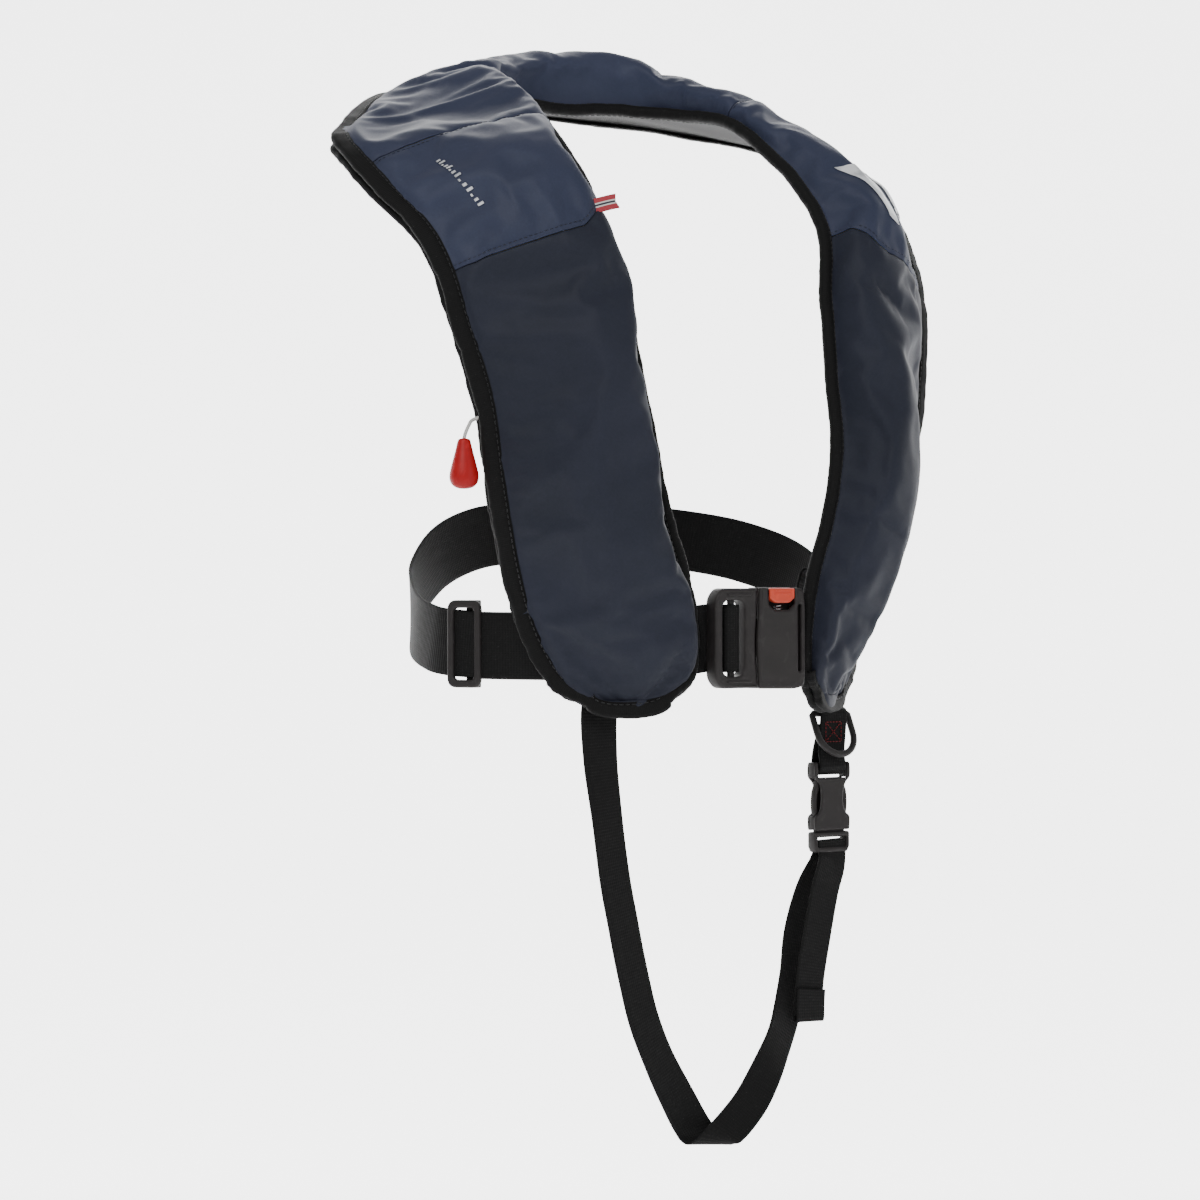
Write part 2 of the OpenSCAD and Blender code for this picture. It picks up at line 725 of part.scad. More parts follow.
// From behind the left lobe over the D-ring's bar and around the bar of the socket
module anchor_webbing() {
    bar_z = clip_top - 3;
    r = web_bar / 2 + web_t / 2 + 0.8;
    route = [
        [spot(11.6, 96, -9), normal_at(11.6)], [spot(12.3, 86, -9), normal_at(12.3)],
        [[110, -99, -418], [0.35, -0.94, 0]], [[108.5, -104.5, -426], [0.15, -1, 0]],
        [[107.5, -112, -433], [0, -1, 0]], [[107, -112.6, -440], [0, -1, 0]],
        [[106, -112.8, -450], [0, -1, 0]], [[104.8, -113, -463], [0, -1, 0]],
        [[clip_x, clip_y - r, bar_z + 2], [0, -1, 0]],
        [[clip_x, clip_y - r, bar_z - 2], [0, -1, 0]],
        [[clip_x, clip_y, bar_z - r - 1.6], [0, 0, -1]],
        [[clip_x, clip_y + r, bar_z - 2], [0, 1, 0]],
        [[clip_x, clip_y + r, bar_z + 5], [0, 1, 0]],
        [[104.5, -108.4, bar_z + 14], [0, 1, 0]], [[105.5, -110.7, -451], [0, 1, 0]],
        [[106, -110.7, -444], [0, 1, 0]]
    ];
    color(BLACK) ribbon(route, strap_w - 1, web_t - 0.2, 3);
}

// Crossed red stitching on the anchor, below the D-ring's bar
module bar_tacks() {
    color("#7d1f22") translate([106, -114, -449]) {
        for (a = [-45, 45]) {
            rotate([0, a, 0]) translate([-6.5, -0.7, -0.5]) cube([13, 0.7, 1]);
        }
        translate([-6, -0.7, 4.4]) cube([12, 0.7, 1]);
        translate([-6, -0.7, -5.4]) cube([12, 0.7, 1]);
    }
}

// The ring is bent from round bar: a straight bar on top and a D below it
module d_ring() {
    r = ring_in / 2 + ring_d / 2;
    side = ring_drop - r - ring_d / 2;
    color(PLASTIC) translate([ring_x, ring_y, ring_z]) rotate([-ring_tilt, 0, 0]) {
        translate([-r, 0, 0]) rotate([0, 90, 0]) cylinder(d = ring_d, h = 2 * r, $fn = 32);
        for (x = [-r, r]) {
            translate([x, 0, -side]) cylinder(d = ring_d, h = side, $fn = 32);
            translate([x, 0, 0]) sphere(d = ring_d, $fn = 32);
        }
        translate([0, 0, -side]) rotate([90, 0, 0]) rotate([0, 0, 180])
            rotate_extrude(angle = 180, $fn = 48) translate([r, 0]) circle(d = ring_d, $fn = 24);
    }
}

cavity_w = 2 * arm_x + arm_w + 1;
cavity_t = clip_t - 4;
window_z = 11;
window_h = 24;
module clip_socket() {
    waist = 3.4;
    color(PLASTIC) translate([clip_x, clip_y, clip_top - socket_l]) difference() {
        rounded(clip_w, clip_t, socket_l, 3.4);
        // cavity for the plug, side windows for its arms and the waist around them
        translate([-cavity_w / 2, -cavity_t / 2, -1]) cube([cavity_w, cavity_t, 41]);
        for (x = [-1, 1]) {
            translate([x * clip_w / 2, 0, window_z]) translate([-waist, -clip_t, 0])
                cube([2 * waist, 2 * clip_t, window_h]);
        }
        // slot under the bar for the anchor
        translate([-strap_w / 2 - 0.5, -clip_t, socket_l - 12.5])
            cube([strap_w + 1, 2 * clip_t, 6.5]);
        // the bar itself is thinner than the body
        for (y = [-1, 1]) {
            translate([-strap_w / 2 - 0.5, y * clip_t / 2 - (y > 0 ? clip_t / 2 - web_bar / 2 : 1),
                socket_l - 8]) cube([strap_w + 1, clip_t / 2 - web_bar / 2 + 1, 10]);
        }
    }
}

plug_top = clip_top - socket_l - clip_gap;
pivot_up = 3;
bar_drop = 11;
thin_bar = 3.6;
module clip_plug() {
    color(PLASTIC) translate([clip_x, clip_y, plug_top]) difference() {
        union() {
            translate([0, 0, -plug_base]) rounded(clip_w, clip_t, plug_base, 3.4);
            translate([-cavity_w / 2 + 0.3, -cavity_t / 2 + 0.5, -1])
                cube([cavity_w - 0.6, cavity_t - 1, pivot_up + 3]);
            translate([-2, -cavity_t / 2 + 0.6, 0]) cube([4, cavity_t - 1.2, 32]);
        }
        // seats of the two arms
        for (x = [-arm_x, arm_x]) {
            translate([x, clip_t, pivot_up]) rotate([90, 0, 0])
                cylinder(r = arm_w / 2 + 0.4, h = 2 * clip_t, $fn = 32);
            translate([x - arm_w / 2 - 0.8, -clip_t, pivot_up])
                cube([arm_w + 1.6, 2 * clip_t, 10]);
        }
        // window for the strap, which goes around the thin bar below it
        translate([-strap_w / 2 - 0.8, -clip_t, -bar_drop]) cube([strap_w + 1.6, 2 * clip_t, 7]);
        for (y = [thin_bar / 2, -thin_bar / 2 - clip_t]) {
            translate([-strap_w / 2 - 0.8, y, -plug_base - 1]) cube([strap_w + 1.6, clip_t, 6]);
        }
    }
}

module clip_arm(side) {
    color(PLASTIC) translate([clip_x + side * arm_x, clip_y, plug_top + pivot_up]) {
        rotate([90, 0, 0]) translate([0, 0, -cavity_t / 2 + 0.6])
            cylinder(r = arm_w / 2, h = cavity_t - 1.2, $fn = 32);
        translate([-arm_w / 2, -cavity_t / 2 + 0.6, 0]) cube([arm_w, cavity_t - 1.2, arm_l - 3]);
        translate([0, cavity_t / 2 - 0.6, arm_l - 3]) rotate([90, 0, 0])
            cylinder(r = arm_w / 2, h = cavity_t - 1.2, $fn = 32);
    }
}
module clip_arm_right() { clip_arm(-1); }
module clip_arm_left() { clip_arm(1); }

module crotch_strap() {
    top = [[spot(-12, 62, -2.6), normal_at(-12)], [spot(-12.8, 52, -2.6), normal_at(-12.8)]];
    color(BLACK) ribbon(concat(top, STRAP), strap_w, web_t - 0.4, 3);
}

// Loose end with its sewn hem
module strap_tail() {
    color(BLACK) ribbon(TAIL, strap_w, web_t - 0.4, 3);
}

cover_collar();
cover_right_upper();
cover_right_lower();
cover_left_upper();
cover_left_lower();
lining_collar();
lining_right();
lining_left();
lining_binding();
cover_binding();
inner_binding();
bladder();
burst_strips();
gas_cylinder();
inflator_body();
inflator_lever();
lever_pin();
pull_cord();
pull_handle();
oral_tube();
tube_cap();
whistle();
waist_belt();
belt_end();
belt_loop_right();
belt_loop_left();
back_strap();
belt_slider();
buckle_housing();
buckle_tongue();
release_button();
button_spring();
anchor_webbing();
bar_tacks();
d_ring();
clip_socket();
clip_plug();
clip_arm_right();
clip_arm_left();
crotch_strap();
strap_tail();
striped_tab();
reflective_mark();
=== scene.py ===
import math

import bpy
import numpy as np
from mathutils import Matrix, Vector, noise


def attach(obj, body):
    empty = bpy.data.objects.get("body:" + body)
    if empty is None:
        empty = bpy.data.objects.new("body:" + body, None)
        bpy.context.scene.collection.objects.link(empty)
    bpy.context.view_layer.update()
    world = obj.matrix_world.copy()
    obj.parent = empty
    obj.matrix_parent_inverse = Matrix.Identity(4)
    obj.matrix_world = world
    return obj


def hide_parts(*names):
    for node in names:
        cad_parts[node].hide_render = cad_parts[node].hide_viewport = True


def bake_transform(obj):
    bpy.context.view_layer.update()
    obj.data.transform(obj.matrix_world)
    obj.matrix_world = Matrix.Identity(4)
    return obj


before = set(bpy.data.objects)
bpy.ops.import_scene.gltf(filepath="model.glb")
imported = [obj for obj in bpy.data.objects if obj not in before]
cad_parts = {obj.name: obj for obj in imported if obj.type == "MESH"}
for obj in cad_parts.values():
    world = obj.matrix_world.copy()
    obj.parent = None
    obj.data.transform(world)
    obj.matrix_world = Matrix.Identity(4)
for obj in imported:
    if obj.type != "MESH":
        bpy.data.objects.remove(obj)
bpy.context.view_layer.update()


MM = 0.001
SCENE = bpy.context.scene

# ---- Camera ------------------------------------------------------------------

camera = bpy.data.objects.new("camera", bpy.data.cameras.new("camera"))
SCENE.collection.objects.link(camera)
camera.data.sensor_width = 36
camera.data.lens = 91.08
camera.data.clip_end = 30
camera.location = (-1.2737, -1.7938, -0.355)
camera.rotation_euler = Vector((0.5736, 0.8192, 0)).to_track_quat("-Z", "Y").to_euler()
SCENE.camera = camera

# ---- Shell of the jacket, the same shape as in the CAD source -----------------

INNER = [
    [0, 84, 8], [48, 72, 10], [76, 42, 5], [87, 0, -3], [90, -38, -24], [93, -77, -55],
    [94, -106, -90], [85, -120, -140], [79, -134, -195], [74, -146, -248],
    [64, -150, -294], [48, -151, -342], [42, -152, -384], [45, -149, -409],
    [58, -141, -425],
]
OUTER = [
    [0, 148, 14], [88, 130, 10], [152, 94, 0], [202, 48, -18], [231, 16, -42],
    [230, -34, -84], [214, -72, -124], [204, -90, -174], [190, -98, -228],
    [180, -98, -280], [164, -90, -328], [148, -86, -370], [134, -90, -400],
    [122, -97, -417], [106, -109, -428],
]
HEIGHT = [38, 34, 28, 26, 29, 35, 40, 43, 43, 43, 42, 39, 31, 20, 9]
TIP = 14
SHOULDER_LEFT = 3.1
SHOULDER_RIGHT = 4.4
LOWER_SEAM = 6.4
BINDING_W = 20
INNER_BAND_W = 9
EDGE_TAPE = 12.5


def extended(rows):
    """The list with its mirror point before it and a straight step after it."""
    rows = np.array(rows, float).reshape(len(rows), -1)
    first = rows[1].copy()
    if rows.shape[1] == 3:
        first[0] = -first[0]
    return np.vstack([first, rows, 2 * rows[-1] - rows[-2]])


TRACKS = [extended(INNER), extended(OUTER), extended(HEIGHT)]


def catmull(p0, p1, p2, p3, t):
    return 0.5 * (
        2 * p1 + (p2 - p0) * t + (2 * p0 - 5 * p1 + 4 * p2 - p3) * t * t
        + (3 * p1 - p0 - 3 * p2 + p3) * t * t * t
    )


def along(track, s):
    i = np.minimum(np.floor(s).astype(int), TIP - 1)
    return catmull(track[i], track[i + 1], track[i + 2], track[i + 3], (s - i)[..., None])


def unit(v):
    return v / np.linalg.norm(v, axis=-1, keepdims=True)


def shell_frame(s):
    """Inner point, direction across, outward direction and width at stations s >= 0."""
    s = np.asarray(s, float)
    a = along(TRACKS[0], s)
    b = along(TRACKS[1], s)
    near = np.maximum(s - 0.05, 0)
    far = np.minimum(near + 0.1, TIP)
    step = (along(TRACKS[0], far) + along(TRACKS[1], far)
            - along(TRACKS[0], near) - along(TRACKS[1], near))
    step = np.where((near == 0)[..., None], [1.0, 0, 0], step)
    across = unit(b - a)
    return a, across, unit(np.cross(step, across)), np.linalg.norm(b - a, axis=-1)


def sag(s, w):
    """How far the outer side of the right shoulder has sunk, in mm."""
    return 13 * np.exp(-(((s + 3.3) / 1.1) ** 2)) * np.clip(np.asarray(w) / 50, 0, 1)


def spot(s, w, h):
    """Point in metres at station s (negative on the wearer's right), w in and h out."""
    s, w, h = np.broadcast_arrays(np.asarray(s, float), w, h)
    a, across, out, _ = shell_frame(np.abs(s))
    p = a + w[..., None] * across + h[..., None] * out
    p[..., 0] *= np.where(s < 0, -1, 1)
    p[..., 2] -= sag(s, w)
    return p * MM


def normal_at(s):
    s = np.asarray(s, float)
    n = shell_frame(np.abs(s))[2].copy()
    n[..., 0] *= np.where(s < 0, -1, 1)
    return n


def width(s):
    return shell_frame(np.abs(np.asarray(s, float)))[3]


def rise(t):
    return np.sin(np.pi * np.clip(t, 0, 1) ** 0.58).clip(0) ** 0.75


def smooth(x, lo, hi):
    t = np.clip((x - lo) / (hi - lo), 0, 1)
    return t * t * (3 - 2 * t)


def ripple(a, b, seed):
    """Smooth repeatable noise on two arrays."""
    a, b = np.broadcast_arrays(np.asarray(a, float), np.asarray(b, float))
    flat = [noise.noise(Vector((x, y, seed))) for x, y in zip(a.ravel(), b.ravel())]
    return np.array(flat).reshape(a.shape)


# ---- Materials ----------------------------------------------------------------


class Shade:
    """A node material: every call adds a node and gives back the socket it makes."""

    def __init__(self, name):
        self.mat = bpy.data.materials.new(name)
        self.mat.use_nodes = True
        self.tree = self.mat.node_tree
        self.bsdf = self.tree.nodes["Principled BSDF"]
        self.place = self.tree.nodes.new("ShaderNodeTexCoord")

    def link(self, a, b):
        self.tree.links.new(a, b)

    def put(self, socket, value):
        if isinstance(value, bpy.types.NodeSocket):
            self.link(value, self.bsdf.inputs[socket])
        else:
            self.bsdf.inputs[socket].default_value = value

    def scaled(self, source, scale):
        node = self.tree.nodes.new("ShaderNodeMapping")
        node.inputs["Scale"].default_value = scale
        self.link(self.place.outputs[source], node.inputs["Vector"])
        return node.outputs["Vector"]

    def noise(self, scale, detail=2, source="Object", stretch=(1, 1, 1)):
        node = self.tree.nodes.new("ShaderNodeTexNoise")
        node.inputs["Scale"].default_value = scale
        node.inputs["Detail"].default_value = detail
        self.link(self.scaled(source, stretch), node.inputs["Vector"])
        return node.outputs["Fac"]

    def bands(self, pitch, axis, source="UV", distortion=0.0):
        node = self.tree.nodes.new("ShaderNodeTexWave")
        node.bands_direction = axis
        node.inputs["Scale"].default_value = 0.314 / pitch
        node.inputs["Distortion"].default_value = distortion
        self.link(self.place.outputs[source], node.inputs["Vector"])
        return node.outputs["Fac"]

    def math(self, kind, a, b):
        node = self.tree.nodes.new("ShaderNodeMath")
        node.operation = kind
        for k, value in enumerate((a, b)):
            if isinstance(value, bpy.types.NodeSocket):
                self.link(value, node.inputs[k])
            else:
                node.inputs[k].default_value = value
        return node.outputs[0]

    def ramp(self, fac, stops):
        node = self.tree.nodes.new("ShaderNodeValToRGB")
        band = node.color_ramp
        while len(band.elements) < len(stops):
            band.elements.new(0.5)
        for e, (at, colour) in zip(band.elements, stops):
            e.position = at
            e.color = (*colour, 1)
        self.link(fac, node.inputs["Fac"])
        return node.outputs["Color"]

    def mix(self, fac, a, b, kind="MIX"):
        node = self.tree.nodes.new("ShaderNodeMix")
        node.data_type = "RGBA"
        node.blend_type = kind
        for key, value in (("Factor_Float", fac), ("A_Color", a), ("B_Color", b)):
            socket = next(i for i in node.inputs if i.identifier == key)
            if isinstance(value, bpy.types.NodeSocket):
                self.link(value, socket)
            else:
                socket.default_value = value if key == "Factor_Float" else (*value, 1)
        return next(o for o in node.outputs if o.identifier == "Result_Color")

    def span(self, fac, lo, hi):
        node = self.tree.nodes.new("ShaderNodeMapRange")
        node.inputs["To Min"].default_value = lo
        node.inputs["To Max"].default_value = hi
        self.link(fac, node.inputs["Value"])
        return node.outputs["Result"]

    def bump(self, fac, strength, distance):
        node = self.tree.nodes.new("ShaderNodeBump")
        node.inputs["Strength"].default_value = strength
        node.inputs["Distance"].default_value = distance
        self.link(fac, node.inputs["Height"])
        self.link(node.outputs["Normal"], self.bsdf.inputs["Normal"])


def tint(code, gain=1.0):
    """Linear colour of a #rrggbb code."""
    values = [int(code[k : k + 2], 16) / 255 for k in (1, 3, 5)]
    return tuple(
        gain * (v / 12.92 if v <= 0.04045 else ((v + 0.055) / 1.055) ** 2.4) for v in values
    )


def cloth(name, light, dark, pitch, rough, sheen, depth):
    """Woven cloth: threads both ways along the panel, cloudy shade and a soft sheen."""
    s = Shade(name)
    warp, weft = s.bands(pitch, "X"), s.bands(pitch, "Y")
    threads = s.math("MULTIPLY", warp, weft)
    cloud = s.noise(9, 3)
    fluff = s.noise(650, 2)
    shade = s.ramp(cloud, [(0.32, dark), (0.68, light)])
    shade = s.mix(s.span(threads, 0.0, 0.35), shade, tuple(0.45 * c for c in dark))
    shade = s.mix(s.span(fluff, 0.0, 0.16), shade, tuple(min(1, 1.9 * c) for c in light))
    s.put("Base Color", shade)
    s.put("Roughness", s.span(cloud, rough - 0.06, rough + 0.06))
    s.put("Sheen Weight", sheen)
    s.put("Sheen Roughness", 0.45)
    s.put("Specular IOR Level", 0.2)
    s.bump(s.math("ADD", threads, s.math("MULTIPLY", fluff, 0.6)), 0.5, depth)
    return s.mat


def tape(name, light, dark, rib, row, rough, depth):
    """Ribbed webbing: strong ribs across, finer rows along and dusty highs."""
    s = Shade(name)
    ribs = s.bands(rib, "X", distortion=0.4)
    rows = s.bands(row, "Y", distortion=0.3)
    weave = s.math("ADD", s.math("MULTIPLY", ribs, 0.6), s.math("MULTIPLY", rows, 0.4))
    cloud = s.noise(26, 3)
    dust = s.noise(420, 3)
    shade = s.mix(weave, dark, light)
    shade = s.mix(s.span(cloud, 0.0, 0.5), shade, dark)
    shade = s.mix(s.span(dust, -0.1, 0.2), shade, tuple(min(1, 2.6 * c) for c in light))
    s.put("Base Color", shade)
    s.put("Roughness", s.span(dust, rough - 0.08, rough + 0.08))
    s.put("Sheen Weight", 0.03)
    s.put("Specular IOR Level", 0.2)
    s.bump(s.math("ADD", weave, s.math("MULTIPLY", dust, 0.35)), 0.8, depth)
    return s.mat


def plastic(name, colour, rough, grain=0.00006, shine=0.5, coat=0.0):
    """Moulded plastic: spark-eroded grain, faint flow marks and scuffed highs."""
    s = Shade(name)
    grit = s.noise(1500, 3)
    flow = s.noise(30, 2, stretch=(1, 1, 3))
    scuff = s.noise(140, 4, stretch=(1, 4, 1))
    shade = s.ramp(flow, [(0.3, tuple(0.82 * c for c in colour)), (0.7, colour)])
    worn = tuple(min(1, 1.35 * c + 0.012) for c in colour)
    shade = s.mix(s.ramp(scuff, [(0.56, (0, 0, 0)), (0.74, (0.5, 0.5, 0.5))]), shade, worn)
    s.put("Base Color", shade)
    s.put("Roughness", s.span(scuff, rough - 0.08, rough + 0.1))
    s.put("Specular IOR Level", shine)
    s.put("Coat Weight", coat)
    s.bump(grit, 0.5, grain)
    return s.mat


def metal(name, colour, rough):
    s = Shade(name)
    drawn = s.noise(320, 3, stretch=(1, 1, 0.08))
    stain = s.noise(22, 3)
    shade = s.ramp(stain, [(0.3, tuple(0.7 * c for c in colour)), (0.72, colour)])
    s.put("Base Color", shade)
    s.put("Metallic", 1.0)
    s.put("Roughness", s.span(drawn, rough - 0.08, rough + 0.12))
    s.bump(drawn, 0.3, 0.00008)
    return s.mat


def stripes(name):
    """Tab ribbon with plain stripes along it."""
    s = Shade(name)
    node = s.tree.nodes.new("ShaderNodeSeparateXYZ")
    s.link(s.place.outputs["UV"], node.inputs[0])
    at = s.math("MULTIPLY", node.outputs["Y"], 100)
    shade = s.ramp(at, [(0, RED_TAB), (0.34, RED_TAB), (0.36, WHITE), (0.43, WHITE),
                        (0.45, INK), (0.56, INK), (0.58, WHITE), (0.65, WHITE),
                        (0.67, RED_TAB), (1, RED_TAB)])
    threads = s.bands(0.0006, "X")
    s.put("Base Color", s.mix(s.span(threads, 0.0, 0.3), shade, INK))
    s.put("Roughness", 0.62)
    s.put("Sheen Weight", 0.2)
    s.bump(threads, 0.5, 0.0001)
    return s.mat


def glint(name):
    """Reflective film: beads in a fine net over a silver-white ground."""
    s = Shade(name)
    beads = s.noise(2400, 1)
    wear = s.noise(60, 4)
    s.put("Base Color", s.ramp(wear, [(0.34, (0.5, 0.52, 0.54)), (0.52, (0.83, 0.84, 0.86))]))
    s.put("Roughness", s.span(beads, 0.3, 0.5))
    s.put("Metallic", 0.1)
    s.bump(beads, 0.4, 0.00004)
    return s.mat


RED_TAB = tint("#b3303a")
WHITE = tint("#e8e6e2")
INK = tint("#1d2030")
BLACK = tint("#101010")
DEEP = tint("#050505")

MATERIALS = {
    "cover_cloth": cloth("cover_cloth", tint("#343848", 0.62), tint("#2a2e3b", 0.62), 0.0008, 0.62, 0.04, 0.00007),
    "cover_cloth_upper": cloth("cover_cloth_upper", tint("#3f455c", 0.8), tint("#33394e", 0.8), 0.0007, 0.55, 0.04, 0.00005),
    "lining_cloth": cloth("lining_cloth", BLACK, DEEP, 0.0016, 0.8, 0.2, 0.0003),
    "binding_tape": tape("binding_tape", BLACK, DEEP, 0.0014, 0.0011, 0.72, 0.00018),
    "webbing": tape("webbing", tint("#101010"), DEEP, 0.0021, 0.0016, 0.66, 0.00028),
    "bladder_cloth": cloth("bladder_cloth", tint("#f2c22e"), tint("#dfa91c"), 0.0006, 0.45, 0.05, 0.00004),
    "hook_tape": tape("hook_tape", tint("#202022"), DEEP, 0.0016, 0.0016, 0.8, 0.0005),
    "black_plastic": plastic("black_plastic", tint("#2a2727"), 0.5, 0.00006, 0.35),
    "button_plastic": plastic("button_plastic", tint("#d8492f"), 0.4),
    "red_plastic": plastic("red_plastic", tint("#b0080c"), 0.5, 0.00003, 0.35),
    "gas_steel": metal("gas_steel", (0.42, 0.44, 0.42), 0.42),
    "inflator_plastic": plastic("inflator_plastic", tint("#d9a520"), 0.4),
    "bright_steel": metal("bright_steel", (0.72, 0.72, 0.73), 0.25),
    "tube_rubber": plastic("tube_rubber", tint("#1d1d1f"), 0.62, 0.0001, 0.3),
    "whistle_plastic": plastic("whistle_plastic", tint("#e4e3df"), 0.32),
    "cord_white": tape("cord_white", tint("#f0efec"), tint("#b9b7b2"), 0.0011, 0.0013, 0.6, 0.0003),
    "tab_ribbon": stripes("tab_ribbon"),
    "stitch_red": cloth("stitch_red", tint("#7d2226"), tint("#5c1518"), 0.0005, 0.55, 0.2, 0.0001),
    "reflective": glint("reflective"),
}
NAVY_THREAD = cloth("navy_thread", tint("#262b3b"), tint("#181c28"), 0.0004, 0.5, 0.2, 0.0001)
BLACK_THREAD = cloth("black_thread", tint("#2c2c2e"), tint("#161617"), 0.0004, 0.5, 0.2, 0.0001)

# ---- Mesh making --------------------------------------------------------------


def add_mesh(name, verts, faces, uvs=None):
    mesh = bpy.data.meshes.new(name)
    mesh.from_pydata([tuple(v) for v in verts], [], [tuple(f) for f in faces])
    if uvs is not None:
        layer = mesh.uv_layers.new(name="UVMap")
        index = np.empty(len(mesh.loops), int)
        mesh.loops.foreach_get("vertex_index", index)
        layer.data.foreach_set("uv", np.asarray(uvs, float)[index].astype(np.float32).ravel())
    mesh.validate()
    mesh.update()
    mesh.polygons.foreach_set("use_smooth", [True] * len(mesh.polygons))
    obj = bpy.data.objects.new(name, mesh)
    SCENE.collection.objects.link(obj)
    return obj


def finish_piece(obj, body, slot, nodes=(), material=None):
    obj.data.materials.clear()
    obj.data.materials.append(material or MATERIALS[slot])
    if nodes:
        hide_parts(*nodes)
    if body:
        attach(obj, body)
    return obj


def apply_all(obj):
    """Replace the object's mesh by what its modifiers make of it."""
    graph = bpy.context.evaluated_depsgraph_get()
    mesh = bpy.data.meshes.new_from_object(obj.evaluated_get(graph), depsgraph=graph)
    obj.modifiers.clear()
    obj.data = mesh
    return obj


def lengths(points):
    step = np.linalg.norm(np.diff(points, axis=0), axis=-1)
    return np.concatenate([[0], np.cumsum(step)])


def loops_mesh(name, rings, uv_across, caps=True):
    """Skin over closed rings (m, n, 3); uv_across (n) is each ring point's place across."""
    m, n = rings.shape[:2]
    at = lengths(rings.mean(axis=1))
    uvs = np.stack([np.repeat(at, n), np.tile(uv_across, m)], axis=1)
    faces = [
        (j * n + i, j * n + (i + 1) % n, (j + 1) * n + (i + 1) % n, (j + 1) * n + i)
        for j in range(m - 1) for i in range(n)
    ]
    if caps:
        faces += [tuple(range(n - 1, -1, -1)), tuple((m - 1) * n + i for i in range(n))]
    return add_mesh(name, rings.reshape(-1, 3), faces, uvs)


def grid_object(name, points, uv=None):
    m, n = points.shape[:2]
    if uv is None:
        mid = points[:, n // 2]
        at = lengths(mid)
        cross = np.concatenate(
            [np.zeros((m, 1)), np.cumsum(np.linalg.norm(np.diff(points, axis=1), axis=-1), axis=1)], axis=1)
        uv = np.stack([np.repeat(at[:, None], n, axis=1), cross], axis=-1)
    faces = [
        (j * n + i, j * n + i + 1, (j + 1) * n + i + 1, (j + 1) * n + i)
        for j in range(m - 1) for i in range(n - 1)
    ]
    return add_mesh(name, points.reshape(-1, 3), faces, uv.reshape(-1, 2))


def route_frames(route, cuts=8):
    """Positions, tangents, side and face directions along a webbing route, in metres."""
    p = np.array([q[0] for q in route], float)
    f = np.array([q[1] for q in route], float)
    n = len(p)
    u = np.linspace(0, n - 1, (n - 1) * cuts + 1)
    i = np.minimum(np.floor(u).astype(int), n - 2)
    a, c, d = np.maximum(i - 1, 0), i + 1, np.minimum(i + 2, n - 1)
    t = (u - i)[:, None]
    pos = catmull(p[a], p[i], p[c], p[d], t) * MM
    raw = catmull(f[a], f[i], f[c], f[d], t)
    tan = unit(np.gradient(pos, axis=0))
    face = unit(raw - (raw * tan).sum(1, keepdims=True) * tan)
    return pos, tan, np.cross(face, tan), face


def ribbon(name, route, wide, thick, cuts=8, wander=0.0, seed=1.0, lift=0.0, fold=None):
    """Webbing with thick selvedges along a route of points and face directions. At a fold,
    (route point, crease direction, stretch), the web is creased slantwise."""
    pos, tan, side, face = route_frames(route, cuts)
    if fold:
        at_point, axis, stretch = fold
        u = np.linspace(0, len(route) - 1, len(pos))
        near = np.exp(-(((u - at_point) / 0.95) ** 2))[:, None]
        side = side * (1 - near) + np.array(axis) * stretch * near
        face = unit(np.cross(tan, side))
    a, b = wide / 2 * MM, thick / 2 * MM
    half = [(-a, -0.3 * b), (-a + 0.5 * b, -b), (-a + 2.6 * b, -0.94 * b), (-a / 2.4, -0.86 * b),
            (0, -0.84 * b), (a / 2.4, -0.86 * b), (a - 2.6 * b, -0.94 * b), (a - 0.5 * b, -b), (a, -0.3 * b)]
    prof = np.array(half + [(x, -z) for x, z in reversed(half)])
    at = lengths(pos)
    sway = wander * MM * ripple(at * 22, 0, seed)
    curl = wander * 0.6 * MM * ripple(at * 31, 5, seed)
    rings = (
        pos[:, None] + (prof[:, 0][None, :, None]) * side[:, None]
        + (prof[:, 1][None, :, None] + lift * MM) * face[:, None]
        + sway[:, None, None] * face[:, None]
        + (curl[:, None] * (prof[:, 0][None] / a) ** 2)[..., None] * face[:, None]
    )
    return loops_mesh(name, rings, prof[:, 0])


def tube(name, points, radius, sides=12, closed=False, flat=1.0):
    points = np.asarray(points, float)
    if closed:
        tan = unit(np.roll(points, -1, axis=0) - np.roll(points, 1, axis=0))
    else:
        tan = unit(np.gradient(points, axis=0))
    x = unit(np.cross(tan, [0.3, 1, 0.2]))
    y = np.cross(tan, x)
    angle = np.linspace(0, 2 * np.pi, sides, endpoint=False)
    radius = np.broadcast_to(radius, len(points))[:, None, None]
    rings = points[:, None] + radius * (
        x[:, None] * np.cos(angle)[None, :, None] + flat * y[:, None] * np.sin(angle)[None, :, None])
    if closed:
        rings = np.concatenate([rings, rings[:1]])
    return loops_mesh(name, rings, angle * 0.001, caps=not closed)


